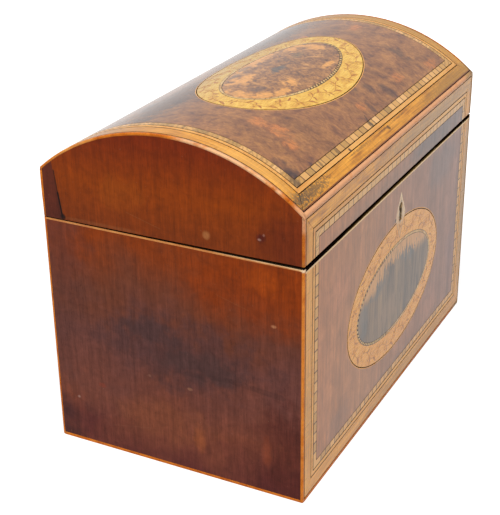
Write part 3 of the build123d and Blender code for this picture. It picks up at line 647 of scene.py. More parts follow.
@dataclass(frozen=True)
class EndVeneer(Recipe):
    """Red-brown veneer of the ends and the back: upright satin grain, smoke and old knocks."""

    # Tones by height: darker at the bottom and orange at the top, partly the wood's own colour and partly
    # painted light from above.
    box_tones_and_shade: Stops = ((0.0, "#5e2c28"), (0.2, "#7a412f"), (0.5, "#693d35"), (0.72, "#6e3a27"),
                        (0.9, "#7e3817"), (1.0, "#86370c"))
    lid_tones: Stops = ((0.0, "#7a3410"), (0.45, "#8a3a08"), (0.9, "#77290a"))
    crack_foot: tuple[float, float] = (47.5, 103.3)
    crack_lean: float = 0.137
    roughness: float = 0.33

    def material(self, name: str) -> bpy.types.Material:
        """Makes the finish.

        Args:
            name: What the material is called.

        Returns:
            The material.
        """
        w = Wiring(name)
        ragged = w.ragged(9)
        left = w.sum("LESS_THAN", w.axis("X"), -HALF_LENGTH + UNDER_SKIN)
        drift = w.span(w.cloud(w.stretched((44, 30, 24)), 3, 0.5, 0.3), 0.25, 0.75, -0.14, 0.14, False)
        height = w.sum("ADD", w.sum("DIVIDE", w.axis("Z"), SEAM_Z), drift)
        over = w.sum("DIVIDE", w.sum("SUBTRACT", w.axis("Z"), SEAM_Z), TOP_Z - SEAM_Z)
        is_lid = w.sum("GREATER_THAN", w.axis("Z"), SEAM_Z + 0.1 * MM)
        box = w.stain(w.ramp(height, self.box_tones_and_shade), self._box_marks(), ragged)
        lid = w.stain(w.ramp(over, self.lid_tones), self._lid_marks(), ragged)
        lid = self._strip(w, lid, left)
        colour = w.mix(is_lid, box, lid)
        colour = w.stain(colour, self._knocks(), ragged)
        colour = w.scratch(colour, self._cracks(), left)
        satin = w.cloud(w.stretched((5, 2.4, 30)), 3, 0.5, 0.3)
        fibre = w.cloud(w.stretched((1.1, 0.5, 7)), 3, 0.6, 0.1)
        ripple = w.cloud(w.stretched((8, 4.2, 3.2)), 3, 0.6, 0.6)
        colour = w.vary(colour, (satin, 0.18), (fibre, 0.19), (ripple, 0.18))
        pores = w.cloud(w.stretched((0.35, 0.22, 2.0)), 2, 0.5)
        colour = w.flecked(colour, pores, 0.64, 0.74, 0.45, "#2a0f08")
        specks = w.cloud(w.stretched((0.8, 0.8, 0.8), offset=7), 1)
        colour = w.flecked(colour, specks, 0.76, 0.82, 0.3, "#a87a62")
        rough = w.sheen(fibre, self.roughness - 0.03, self.roughness + 0.06)
        return w.polished(w.seam_shaded(colour), rough, w.relief(fibre, 0.015), gloss=0.07)

    def _strip(self, w: Wiring, colour: Socket, left: Socket) -> Socket:
        """Darkens the strip of lid veneer behind the crack.

        Args:
            w: The material being wired.
            colour: The lid's colour.
            left: Share that is on the left end.

        Returns:
            The lid's colour with its dark strip.
        """
        foot_y, foot_z = (value * MM for value in self.crack_foot)
        lean = w.both(w.sum("SUBTRACT", w.axis("Z"), foot_z), self.crack_lean)
        behind = w.span(w.sum("SUBTRACT", w.axis("Y"), lean), foot_y, foot_y + 0.5 * MM, 0.0, 0.78)
        return w.mix(w.both(behind, left), colour, "#4a211c")

    def _box_marks(self) -> tuple[Mark, ...]:
        """Gives the broad smoke and warmth of the box's ends, with painted light at the top front of the left
        end.

        Returns:
            The marks, lowest first.
        """
        return (
            on_left((-4, 46), (55, 22), "#523432", 0.74, 0.6),
            Mark({"X": (95, 60), "Y": (14, 40), "Z": (38, 26)}, "#5c3b34", 0.5, 0.7),
            on_left((-16, 24), (50, 8), "#483331", 0.5, 0.8),
            on_left((8, 18), (62, 9), "#463232", 0.5, 0.8),
            # Painted light: the top front of the left end is made brighter orange.
            on_left((-40, 44), (92, 25), "#8b3502", 0.72, 0.35),
            on_left((60, 30), (76, 60), "#5e3730", 0.6, 0.3),
            Mark({"Y": (60, 17), "Z": (4, 26)}, "#2c1c22", 0.62, 0.4),
            Mark({"Y": (36, 18), "Z": (28, 18)}, "#6c4038", 0.4, 0.6),
            Mark({"Y": (-54, 24), "Z": (14, 38)}, "#4e1f1a", 0.7, 0.4),
            Mark({"Y": (4, 26), "Z": (21, 12)}, "#854a30", 0.45, 0.6),
            Mark({"Y": (-11, 4), "Z": (17.6, 8)}, "#a1562c", 0.4, 0.5),
            Mark({"Y": (-41, 3), "Z": (19.5, 9)}, "#9c4a2c", 0.4, 0.5),
            Mark({"Y": (-40, 9), "Z": (94, 7)}, "#a8480c", 0.4, 0.6),
        )

    def _lid_marks(self) -> tuple[Mark, ...]:
        """Gives the broad shades of the lid's ends.

        Returns:
            The marks, lowest first.
        """
        return (
            on_left((-54, 24), (110, 20), "#682710", 0.75, 0.3),
            on_left((20, 14), (118, 9), "#99480f", 0.45, 0.6),
            on_left((-8, 12), (121, 8), "#8f3c0a", 0.4, 0.6),
            on_left((30, 24), (103, 1.1), "#9c6038", 0.25, 0.3),
        )

    def _knocks(self) -> tuple[Mark, ...]:
        """Gives the small dents and bruises of the left end.

        Returns:
            The marks, lowest first.
        """
        spots = ((-16.8, 107.8, 2.0, 2.4, "#ab6c3e", 0.75), (-39.4, 110.8, 2.6, 2.2, "#541a14", 0.85),
                 (-38.7, 110.2, 1.0, 0.7, "#b98a7c", 0.7), (-40.4, 112.2, 0.6, 0.8, "#a87462", 0.6),
                 (-44.2, 75.9, 1.5, 1.0, "#c4825a", 0.85),
                 (-7.3, 39.1, 1.6, 0.9, "#a06c52", 0.6), (11.3, 40.6, 1.1, 0.9, "#a06c58", 0.5),
                 (46.6, 21.3, 1.1, 0.9, "#a88476", 0.6), (34.4, 30.0, 2.2, 1.5, "#8e3f2c", 0.5),
                 (47.2, 103.2, 1.5, 1.6, "#180b09", 0.95))
        return tuple(on_left((y, wide), (z, high), colour, strength, 0.45)
                     for y, z, wide, high, colour, strength in spots)

    def _cracks(self) -> tuple[Stroke, ...]:
        """Gives the crack in the lid's end and a few light scratches.

        Returns:
            The strokes, lowest first.
        """
        return (
            Stroke("YZ", (50.1, 122.3), (48.9, 113.1), 0.2, "#1c0d0a", 0.85),
            Stroke("YZ", (48.9, 113.1), self.crack_foot, 0.32, "#150907"),
            Stroke("YZ", (18.0, 110.6), (3.0, 106.4), 0.1, "#a86a40", 0.3),
            Stroke("YZ", (-20.0, 84.0), (-34.0, 80.2), 0.1, "#a0663e", 0.22),
            Stroke("YZ", (30.0, 12.0), (12.0, 15.5), 0.1, "#90604a", 0.22),
            Stroke("YZ", (-6.0, 46.0), (-26.0, 47.6), 0.9, "#2c1e1e", 0.16),
            Stroke("YZ", (-26.0, 47.6), (-48.0, 45.8), 1.0, "#2c1e1e", 0.22),
        )


@dataclass(frozen=True)
class FieldVeneer(Recipe):
    """Brown field of the front: soft upright stripes, pinker on the left and greyer on the right."""

    tones: Stops = ((0.0, "#b7774d"), (0.3, "#aa744f"), (0.6, "#9b6c54"), (1.0, "#926858"))
    reach: float = 88.0

    def material(self, name: str) -> bpy.types.Material:
        """Makes the finish.

        Args:
            name: What the material is called.

        Returns:
            The material.
        """
        w = Wiring(name)
        ragged = w.ragged(8)
        across = w.span(w.axis("X"), -self.reach * MM, self.reach * MM, soft=False)
        colour = w.stain(w.ramp(across, self.tones), self._marks(), ragged)
        broad = w.cloud(w.stretched((8, 60, 110)), 3, 0.5, 0.2)
        stripe = w.cloud(w.stretched((2.2, 60, 46)), 3, 0.55, 0.1)
        fibre = w.cloud(w.stretched((0.5, 8, 11)), 3, 0.6)
        blotch = w.cloud(w.stretched((7, 8, 10)), 4, 0.6, 0.6)
        colour = w.vary(colour, (broad, 0.24), (stripe, 0.2), (fibre, 0.22), (blotch, 0.22))
        pores = w.cloud(w.stretched((0.3, 3, 1.8)), 2)
        colour = w.flecked(colour, pores, 0.64, 0.76, 0.5, "#3c2216")
        front = w.sum("LESS_THAN", w.axis("Y"), -HALF_DEPTH + UNDER_SKIN)
        colour = w.scratch(colour, self._scratches(), front)
        rough = w.sheen(fibre, 0.28, 0.36)
        return w.polished(w.seam_shaded(colour), rough, w.relief(fibre, 0.012), gloss=0.27)

    def _marks(self) -> tuple[Mark, ...]:
        """Gives the blushes and bruises of the field.

        Returns:
            The marks, lowest first.
        """
        return (
            Mark({"X": (-62, 14), "Z": (79, 12)}, "#c4805c", 0.45, 0.5),
            Mark({"X": (-74, 6), "Z": (40, 24)}, "#b87a54", 0.35, 0.6),
            Mark({"X": (-60, 16), "Z": (16, 12)}, "#8a6452", 0.5, 0.7),
            Mark({"X": (50, 12), "Z": (22, 9)}, "#a8745e", 0.45, 0.5),
            Mark({"X": (57, 24), "Z": (90, 14)}, "#70605d", 0.6, 0.4),
            Mark({"X": (76, 9), "Z": (38, 16)}, "#84635f", 0.5, 0.4),
            Mark({"X": (10, 90), "Z": (9, 7)}, "#77625a", 0.5, 0.5),
            Mark({"X": (0, 92), "Z": (104, 4.5)}, "#8c6a54", 0.4, 0.3),
            Mark({"X": (55, 50), "Z": (108, 9)}, "#655d5b", 0.7, 0.5),
            Mark({"X": (-2.9, 0.9), "Y": (-56.5, 2), "Z": (84.4, 1.1)}, "#120a06", 0.95, 0.2),
        )

    def _scratches(self) -> tuple[Stroke, ...]:
        """Gives the light scratches of the field.

        Returns:
            The strokes, lowest first.
        """
        return (
            Stroke("XZ", (-68.2, 26.0), (-66.0, 19.5), 0.13, "#c99068", 0.5),
            Stroke("XZ", (-41.1, 87.5), (-43.0, 82.5), 0.12, "#c99068", 0.4),
            Stroke("XZ", (-74.0, 60.0), (-73.2, 52.0), 0.1, "#c9946e", 0.4),
            Stroke("XZ", (63.0, 30.0), (69.0, 27.0), 0.1, "#b88c72", 0.4),
        )


@dataclass(frozen=True)
class DomeVeneer(Recipe):
    """Mottled plum-brown field of the dome, with orange flashes and a dark wave."""

    tones: Stops = ((0.32, "#644036"), (0.43, "#87573a"), (0.54, "#a26c42"), (0.68, "#bb7f48"))
    lean: float = 0.2

    def material(self, name: str) -> bpy.types.Material:
        """Makes the finish.

        Args:
            name: What the material is called.

        Returns:
            The material.
        """
        w = Wiring(name)
        w.unroll()
        ragged = w.ragged(4.5)
        mottle = w.cloud(w.stretched((8, 8, 1), self.lean), 5, 0.58, 0.9)
        wisp = w.cloud(w.stretched((3.2, 4.4, 1), self.lean), 4, 0.62, 1.0)
        colour = w.stain(w.ramp(w.blend(mottle, wisp, 0.4), self.tones), self._darks(), ragged)
        broken = w.span(w.cloud(w.stretched((3, 3.6, 1), self.lean), 4, 0.65, 0.8), 0.4, 0.58, 0.2, 1.0)
        colour = w.stain(colour, self._flashes(), ragged, broken)
        colour = w.scratch(colour, (Stroke("XS", (-10.4, 15.4), (-12.2, 13.0), 0.35, "#2a2024", 0.6),))
        wave = w.cloud(w.stretched((16, 34, 1), self.lean), 3, 0.5, 0.3)
        fibre = w.cloud(w.stretched((1.1, 1.7, 1), self.lean), 3, 0.6, 0.6)
        grit = w.cloud(w.stretched((0.9, 1.4, 1)), 3, 0.65)
        colour = w.vary(colour, (wave, 0.15), (fibre, 0.2), (grit, 0.16))
        pores = w.cloud(w.stretched((0.5, 1.0, 1), self.lean), 2)
        colour = w.flecked(colour, pores, 0.64, 0.74, 0.5, "#3a2018")
        rough = w.sheen(fibre, 0.2, 0.27)
        return w.polished(w.shaded_to_back(colour), rough, w.relief(fibre, 0.01), gloss=0.26)

    def _flashes(self) -> tuple[Mark, ...]:
        """Gives the orange flashes of the dome.

        Returns:
            The marks, lowest first.
        """
        flashes = ((-60.4, 31.4, 6, 7), (-60.3, 40.4, 4.5, 5), (-64, 24.0, 4.5, 4), (37.0, 20.0, 7, 3.5),
                   (69.2, 15.8, 7, 3.5), (72.0, 56.5, 7, 3.5), (-5.4, 18.9, 4.4, 3.4), (46, 72, 6, 3))
        return tuple(on_dome(flashes, "#cd7d42", 0.85, 0.7))

    def _darks(self) -> tuple[Mark, ...]:
        """Gives the dark wave, the shadows in the figure, painted shade on the dome's back and a speck.

        Returns:
            The marks, lowest first.
        """
        # The broad darks at S 84 and S 92 paint shade across the dome's back.
        darks = ((21.0, 17.5, 4, 7), (12, 24, 3.5, 6), (3.5, 28, 3, 5), (-1, 16.5, 2.2, 4), (60, 30, 4, 9),
                 (-84, 14, 12, 12), (-50, 84, 50, 13), (60, 92, 60, 14), (4, 44, 30, 3))
        return (
            *on_dome(darks, "#453233", 0.6, 0.75),
            Mark({"X": (-85, 7), "S": (12, 7)}, "#33272b", 0.75, 0.8),
            Mark({"X": (-78, 9), "S": (9.6, 3)}, "#38292a", 0.6, 0.9),
            Mark({"X": (-39.6, 0.7), "S": (8.2, 0.7)}, "#241610", 0.9, 0.3),
        )


@dataclass(frozen=True)
class Crossbanding(Recipe):
    """Golden veneer laid across each band, with its figure turning at the mitres."""

    face: Face
    tones: Stops
    gloss: float = 0.3

    def material(self, name: str) -> bpy.types.Material:
        """Makes the finish.

        Args:
            name: What the material is called.

        Returns:
            The material.
        """
        w = Wiring(name)
        is_dome = self.face is Face.DOME
        if is_dome:
            w.unroll()
        height = w.axis("S" if is_dome else "Z")
        to_end = w.sum("SUBTRACT", HALF_LENGTH, w.sum("ABSOLUTE", w.axis("X")))
        to_long = w.sum("ABSOLUTE", height)
        if is_dome:
            to_back = w.sum("ABSOLUTE", w.sum("SUBTRACT", 2 * DOME.half_arc, height))
            to_long = w.sum("MINIMUM", to_long, to_back)
        upright = w.sum("LESS_THAN", to_end, to_long)
        cross = self._turned(w, upright, 0.8, 7.0)
        streak = self._turned(w, upright, 26.0, 0.7)
        patchy = self._turned(w, upright, 15.0, 4.0)
        colour = w.ramp(w.blend(patchy, streak, 0.4), self.tones)
        colour = w.stain(colour, self._marks(), w.ragged(1.1))
        if is_dome:
            colour = w.scratch(colour, (
                Stroke("XS", (-94.2, 0.8), (-85.4, 9.6), 0.16, "#22160e", 0.85),
                Stroke("XS", (-93.4, 1.75), (93.4, 1.75), 0.34, "#68200a", 0.8)))
        colour = w.vary(colour, (cross, 0.09), (streak, 0.17))
        colour = w.shaded_to_back(colour) if is_dome else colour
        rough = w.sheen(cross, 0.26, 0.36)
        return w.polished(w.seam_shaded(colour), rough, w.relief(cross, 0.01), gloss=self.gloss)

    def _turned(self, w: Wiring, upright: Socket, along: float, across: float) -> Socket:
        """Gives noise that turns with the band.

        Args:
            w: The material being wired.
            upright: 1 on the bands at the ends, 0 on the long ones.
            along: Step along the band, in millimetres.
            across: Step across the band, in millimetres.

        Returns:
            A value from 0 to 1.
        """
        long_bands = w.cloud(w.stretched((along, across, across)), 3, 0.6, 0.3)
        end_bands = w.cloud(w.stretched((across, along, along)), 3, 0.6, 0.3)
        rest = w.sum("SUBTRACT", 1.0, upright)
        return w.sum("MULTIPLY_ADD", end_bands, upright, w.both(long_bands, rest))

    def _marks(self) -> tuple[Mark, ...]:
        """Gives the darker and paler patches in the bands.

        Returns:
            The marks, lowest first.
        """
        if self.face is Face.FRONT:
            return (
                Mark({"X": (-90.5, 3), "Z": (40, 22)}, "#b07c38", 0.45, 0.8),
                Mark({"X": (98, 14), "Z": (60, 70)}, "#9c7442", 0.9, 0.3),
                Mark({"X": (30, 80), "Z": (2, 7)}, "#b27c2c", 0.7, 0.5),
            )
        return (
            Mark({"X": (75, 55), "S": (3, 6)}, "#a8762e", 0.85, 0.4),
            Mark({"X": (-80, 18), "S": (5.4, 3.4)}, "#5c4a30", 0.75, 1.2),
            Mark({"X": (-90, 6), "S": (5, 5)}, "#4c3e2c", 0.65, 1.2),
            Mark({"X": (-4.4, 1.6), "S": (5.4, 1.2)}, "#38200e", 0.9, 0.9),
            Mark({"X": (-9, 6), "S": (6.0, 0.6)}, "#7a4c1a", 0.7, 1.0),
            Mark({"X": (8, 9), "S": (6.2, 0.7)}, "#8a561c", 0.6, 1.0),
            Mark({"X": (-32, 13), "S": (6.2, 0.9)}, "#8a5c20", 0.6, 1.0),
            Mark({"X": (-20, 14), "S": (2.4, 1.2)}, "#a8661a", 0.5, 0.9),
            Mark({"X": (-91, 6), "S": (26, 22)}, "#f0b45c", 0.55, 0.5),
            Mark({"X": (94, 12), "S": (45, 60)}, "#b98a3c", 0.7, 0.3),
            Mark({"X": (40, 80), "S": (-4, 4.5)}, "#a8804c", 0.75, 0.5),
        )


@dataclass(frozen=True)
class PlainWood(Recipe):
    """A wood of one colour with fine grain, for strings, linings and the carcass."""

    dark: str
    light: str
    grain: tuple[float, float, float] = (8, 0.6, 0.6)
    roughness: float = 0.38
    gloss: float = 0.35
    # Marks over the wood: wear, and also painted shade round the keyhole on the carcass and a painted
    # highlight on the edge strings.
    wear: tuple[Mark, ...] = ()

    def material(self, name: str) -> bpy.types.Material:
        """Makes the finish.

        Args:
            name: What the material is called.

        Returns:
            The material.
        """
        w = Wiring(name)
        fibre = w.cloud(w.stretched(self.grain), 4, 0.6)
        broad = w.cloud(w.stretched(tuple(size * 7 for size in self.grain)), 3, 0.5)
        colour = w.ramp(w.blend(fibre, broad, 0.5), ((0.36, self.dark), (0.62, self.light)))
        colour = w.stain(colour, self.wear, w.ragged(5))
        rough = w.sheen(fibre, self.roughness - 0.05, self.roughness + 0.08)
        return w.polished(w.seam_shaded(colour), rough, w.relief(fibre, 0.01), gloss=self.gloss)


@dataclass(frozen=True)
class Hatch:
    """Fine slanted strokes across the ladder where it climbs the arch."""

    pitch: float = 2.1 * MM
    slant: float = -0.5
    share: float = 0.24
    strength: float = 0.34
    from_middle: float = 78 * MM
    colour: str = "#6e4c28"

    def drawn(self, w: Wiring, colour: Socket) -> Socket:
        """Draws the strokes over a colour.

        Args:
            w: The material being wired.
            colour: The colour underneath.

        Returns:
            The hatched colour.
        """
        w.unroll()
        along = w.sum("MULTIPLY_ADD", w.axis("X"), self.slant, w.axis("S"))
        uneven = w.span(w.cloud(w.stretched((3, 3, 3)), 2), 0.2, 0.8, -0.5, 0.5, False)
        phase = w.sum("FRACT", w.sum("ADD", w.sum("DIVIDE", along, self.pitch), uneven))
        from_stroke = w.sum("ABSOLUTE", w.sum("SUBTRACT", phase, 0.5))
        stroke = w.span(from_stroke, self.share / 2, self.share, self.strength, 0.0)
        climbing = w.sum("GREATER_THAN", w.sum("ABSOLUTE", w.axis("X")), self.from_middle)
        return w.mix(w.both(stroke, climbing), colour, self.colour)


@dataclass(frozen=True)
class TonedWood(Recipe):
    """A small inlaid wood whose pieces each have a tone of their own."""

    tones: Stops
    roughness: float = 0.32
    gloss: float = 0.3
    fibre_share: float = 0.25
    hatch: Hatch | None = None
    wear: tuple[Mark, ...] = ()

    def material(self, name: str) -> bpy.types.Material:
        """Makes the finish.

        Args:
            name: What the material is called.

        Returns:
            The material.
        """
        w = Wiring(name)
        tone = w.add("Attribute", attribute_type="GEOMETRY", attribute_name="tone").outputs["Fac"]
        fibre = w.cloud(w.stretched((0.9, 0.5, 0.5)), 3, 0.6)
        colour = w.ramp(w.blend(tone, fibre, self.fibre_share), self.tones)
        if self.hatch is not None:
            colour = self.hatch.drawn(w, colour)
        colour = w.stain(colour, self.wear, w.ragged(2))
        return w.polished(w.seam_shaded(colour), self.roughness, w.relief(fibre, 0.008), gloss=self.gloss)


@dataclass(frozen=True)
class OvalBand(Recipe):
    """Satin wood of an oval band, with a soft flame."""

    face: Face
    tones: Stops
    gloss: float = 0.3

    def material(self, name: str) -> bpy.types.Material:
        """Makes the finish.

        Args:
            name: What the material is called.

        Returns:
            The material.
        """
        w = Wiring(name)
        if self.face is Face.DOME:
            w.unroll()
        flame = w.cloud(w.stretched((7, 2.6, 2.6)), 4, 0.55, 0.7)
        fibre = w.cloud(w.stretched((3, 0.5, 0.5)), 3, 0.5)
        freckle = w.cloud(w.stretched((2.6, 1.3, 1.3)), 4, 0.6, 0.8)
        colour = w.flecked(w.ramp(flame, self.tones), freckle, 0.58, 0.72, 0.35, "#a8682a")
        colour = w.vary(colour, (fibre, 0.07))
        colour = w.shaded_to_back(colour) if self.face is Face.DOME else colour
        return w.polished(colour, w.sheen(fibre, 0.24, 0.32), w.relief(fibre, 0.01), gloss=self.gloss)


@dataclass(frozen=True)
class GreyPanel(Recipe):
    """Grey panel of the front oval: upright figure under a ragged pale fringe."""

    tones: Stops = ((0.34, "#4e4036"), (0.5, "#7e654e"), (0.66, "#a07f5c"))
    sap: str = "#da9c5a"
    middle: tuple[float, float] = FRONT_OVAL_MIDDLE
    half: tuple[float, float] = tuple(reach - PANEL_INSET for reach in FRONT_OVAL_HALF)
    fringe_from: float = 57.0
    fringe_full: float = 63.0

    def material(self, name: str) -> bpy.types.Material:
        """Makes the finish.

        Args:
            name: What the material is called.

        Returns:
            The material.
        """
        w = Wiring(name)
        broad = w.cloud(w.stretched((5, 30, 60), 0.0, 3), 3, 0.5, 0.5)
        stripe = w.cloud(w.stretched((1.3, 20, 24)), 4, 0.6, 0.7)
        colour = w.ramp(w.blend(broad, stripe, 0.5), self.tones)
        colour = w.stain(colour, self._marks(), w.ragged(5))
        fringe = w.cloud(w.stretched((1.5, 20, 7)), 4, 0.65)
        across, up = (w.sum("DIVIDE", w.sum("SUBTRACT", w.axis(letter), place * MM), reach * MM)
                      for letter, place, reach in zip("XZ", self.middle, self.half))
        to_rim = w.sum("SQRT", w.sum("MULTIPLY_ADD", across, across, w.both(up, up)))
        tongues = w.sum("ADD", to_rim, w.span(fringe, 0.25, 0.75, -0.3, 0.34, False))
        high = w.span(w.axis("Z"), self.fringe_from * MM, self.fringe_full * MM)
        colour = w.mix(w.both(w.span(tongues, 0.7, 0.8, 0.0, 0.92), high), colour, self.sap)
        streaks = w.cloud(w.stretched((0.7, 12, 12)), 3, 0.6, 0.6)
        colour = w.flecked(colour, streaks, 0.54, 0.66, 0.65, "#3a3029")
        return w.polished(colour, 0.29, w.relief(stripe, 0.012), gloss=0.3)

    def _marks(self) -> tuple[Mark, ...]:
        """Gives the panel's blue-grey and brown patches.

        Returns:
            The marks, lowest first.
        """
        return (
            Mark({"X": (20, 16), "Z": (63, 6)}, "#5c5e5e", 0.7, 0.7),
            Mark({"X": (-20, 14), "Z": (61, 6)}, "#5a5a58", 0.65, 0.7),
            Mark({"X": (-8, 18), "Z": (44, 8)}, "#93745a", 0.6, 0.6),
            Mark({"X": (-36, 5), "Z": (46, 8)}, "#44403e", 0.6, 0.8),
            Mark({"X": (20.3, 1.0), "Z": (59, 7)}, "#3c3632", 0.6, 0.5),
            Mark({"X": (-7, 0.9), "Z": (61, 6)}, "#3c3632", 0.6, 0.5),
            Mark({"X": (4, 1.2), "Z": (50, 12)}, "#4a423a", 0.5, 0.6),
            Mark({"X": (-36, 6), "Z": (52, 12)}, "#74706c", 0.5, 0.5),
        )


@dataclass(frozen=True)
class BurrPanel(Recipe):
    """Burr panel of the oval on the dome: small swirls, peach sapwood and a blue-grey stain."""

    tones: Stops = ((0.32, "#57392a"), (0.43, "#845636"), (0.54, "#ac7440"), (0.68, "#d29654"))
    sap: str = "#eda552"

    def material(self, name: str) -> bpy.types.Material:
        """Makes the finish.

        Args:
            name: What the material is called.

        Returns:
            The material.
        """
        w = Wiring(name)
        w.unroll()
        swirl = w.cloud(w.stretched((6.5, 6.5, 1), 0.3), 5, 0.6, 1.7)
        fine = w.cloud(w.stretched((2.4, 2.8, 1), 0.3), 4, 0.6, 1.7)
        colour = w.ramp(w.blend(swirl, fine, 0.4), self.tones)
        colour = w.stain(colour, self._marks(), w.ragged(4))
        colour = w.vary(colour, (fine, 0.3))
        return w.polished(colour, 0.23, w.relief(fine, 0.01), gloss=0.27)

    def _marks(self) -> tuple[Mark, ...]:
        """Gives the sapwood patches and stains.

        Returns:
            The marks, lowest first.
        """
        saps = ((-24, 67, 11, 5.4), (-40.5, 58.5, 5, 9), (-37, 50.5, 8, 4), (-27, 46.5, 9, 3),
                (8, 74.5, 34, 3.6), (30, 68, 10, 3.6), (34, 60, 5, 6.5), (-15, 48.5, 5, 4.6),
                (16, 45.6, 7, 1.6))
        return (
            *on_dome(saps, self.sap, 0.88, 1.1),
            Mark({"X": (-3.3, 8), "S": (60.3, 2.8)}, "#4c4b4c", 0.85, 0.9),
            Mark({"X": (-6.4, 6), "S": (74.1, 2.2)}, "#55504e", 0.6, 0.9),
            Mark({"X": (-18.3, 5), "S": (72.6, 2.4)}, "#6d5c52", 0.6, 0.8),
            Mark({"X": (18.8, 5), "S": (61.3, 3)}, "#7a6440", 0.5, 0.8),
            Mark({"X": (-31, 5), "S": (56, 4)}, "#5c4642", 0.6, 0.8),
        )


@dataclass(frozen=True)
class Bone(Recipe):
    """Bone of the escutcheon: cream above, worn pinkish-gold below inside a pale outline."""

    middle: tuple[float, float] = ESCUTCHEON_MIDDLE
    half: tuple[float, float] = (5.85, 10.9)
    worn_from: float = 84.4
    worn_full: float = 80.0

    def material(self, name: str) -> bpy.types.Material:
        """Makes the finish.

        Args:
            name: What the material is called.

        Returns:
            The material.
        """
        w = Wiring(name)
        speckle = w.cloud(w.stretched((1.6, 2, 3)), 4, 0.6)
        colour = w.ramp(speckle, ((0.35, "#cda071"), (0.6, "#efcd9e")))
        from_middle = [w.sum("ABSOLUTE", w.sum("SUBTRACT", w.axis(letter), place * MM))
                       for letter, place in zip("XZ", self.middle)]
        across, up = (w.sum("DIVIDE", away, half * MM) for away, half in zip(from_middle, self.half))
        reach = w.sum("ADD", across, up)
        low = w.span(w.axis("Z"), self.worn_full * MM, self.worn_from * MM, 1.0, 0.0)
        colour = w.mix(w.both(low, 0.9), colour, "#dc9a44")
        rim = w.span(reach, 0.86, 0.95, 0.0, 0.6)
        colour = w.mix(w.both(rim, low), colour, "#8a5524")
        # The first mark paints shade on and round the keyhole's walls.
        colour = w.stain(colour, (
            Mark({"X": (3.1, 2.5), "Z": (86.4, 6.4)}, "#1c110a", 0.95, 0.35),
            Mark({"X": (-2.7, 1.2), "Z": (84.4, 1.1)}, "#120a06", 0.95, 0.2)), w.ragged(2))
        return w.polished(colour, 0.3, w.relief(speckle, 0.01), gloss=0.3)


@dataclass(frozen=True)
class Metal(Recipe):
    """A metal with brushed and tarnished patches."""

    bright: str
    tarnish: str
    roughness: float = 0.3

    def material(self, name: str) -> bpy.types.Material:
        """Makes the finish.

        Args:
            name: What the material is called.

        Returns:
            The material.
        """
        w = Wiring(name)
        patchy = w.cloud(w.stretched((4, 4, 4)), 5, 0.6)
        brushed = w.cloud(w.stretched((6, 0.3, 0.3)), 3, 0.5)
        colour = w.ramp(patchy, ((0.35, self.bright), (0.75, self.tarnish)))
        rough = w.span(patchy, 0.3, 0.8, self.roughness, self.roughness + 0.25)
        return w.polished(colour, rough, w.relief(brushed, 0.01), metal=1.0)


# Painted shade: the carcass round the keyhole is made near-black, for the dark inside of the lock.
KEYHOLE_SHADE = (Mark({"X": (3.1, 8), "Y": (-52, 14), "Z": (85.5, 15)}, "#050303", 1.0, 0.0),)
# The front rim slip is one of the dark lines and wears their near-black as painted shade under the seam gap;
# this mark turns its lower part brown.
SLIP_LOWER_BROWN = (Mark({"X": (8, 84), "Y": (-56.5, 4), "Z": (100.8, 0.6)}, "#6e5526", 0.9, 0.4),)
LINE_WEAR = (Mark({"X": (-39.6, 1.0), "Y": (-50.1, 1.2), "Z": (127.7, 1.2)}, "#2a180c", 0.9, 0.3),)
LADDER_WEAR = (Mark({"X": (-12.3, 1.3), "S": (11.4, 4)}, "#33261c", 0.85, 0.3),
               Mark({"X": (-47, 1.3), "S": (10.6, 4)}, "#4a3420", 0.7, 0.5),
               Mark({"X": (-62, 1.2), "S": (11, 4)}, "#4a3420", 0.6, 0.5),
               Mark({"X": (-83, 3), "S": (11, 5)}, "#3c3028", 0.7, 0.6))
RIM_WEAR = (Mark({"X": (-95, 12), "Y": (-46, 34), "Z": (101.8, 0.8)}, "#f2cb98", 0.85, 0.3),
            Mark({"Y": (-56.5, 2)}, "#f2cd94", 0.85, 0.4))
# The first mark paints a pale peach highlight on the string of the dome's left arc.
ARC_WEAR_AND_HIGHLIGHT = (Mark({"X": (-95, 8), "Y": (-24, 34), "Z": (136, 16)}, "#ffd0a0", 0.7, 0.7),
            Mark({"X": (-95, 8), "Y": (40, 14), "Z": (130, 14)}, "#f2b063", 0.5, 0.6),
            Mark({"X": (-95, 4), "Y": (-56, 4), "Z": (60, 60)}, "#f09a44", 0.4, 0.8),
            Mark({"Z": (122, 8), "Y": (-56.5, 7)}, "#edb184", 0.85, 0.5),
            Mark({"X": (95, 14), "Y": (-56.5, 8)}, "#b08a58", 0.85, 0.3),
            Mark({"X": (-95, 5), "Y": (-56.5, 5), "Z": (101.3, 1.0)}, "#f4d3ac", 0.95, 0.2))
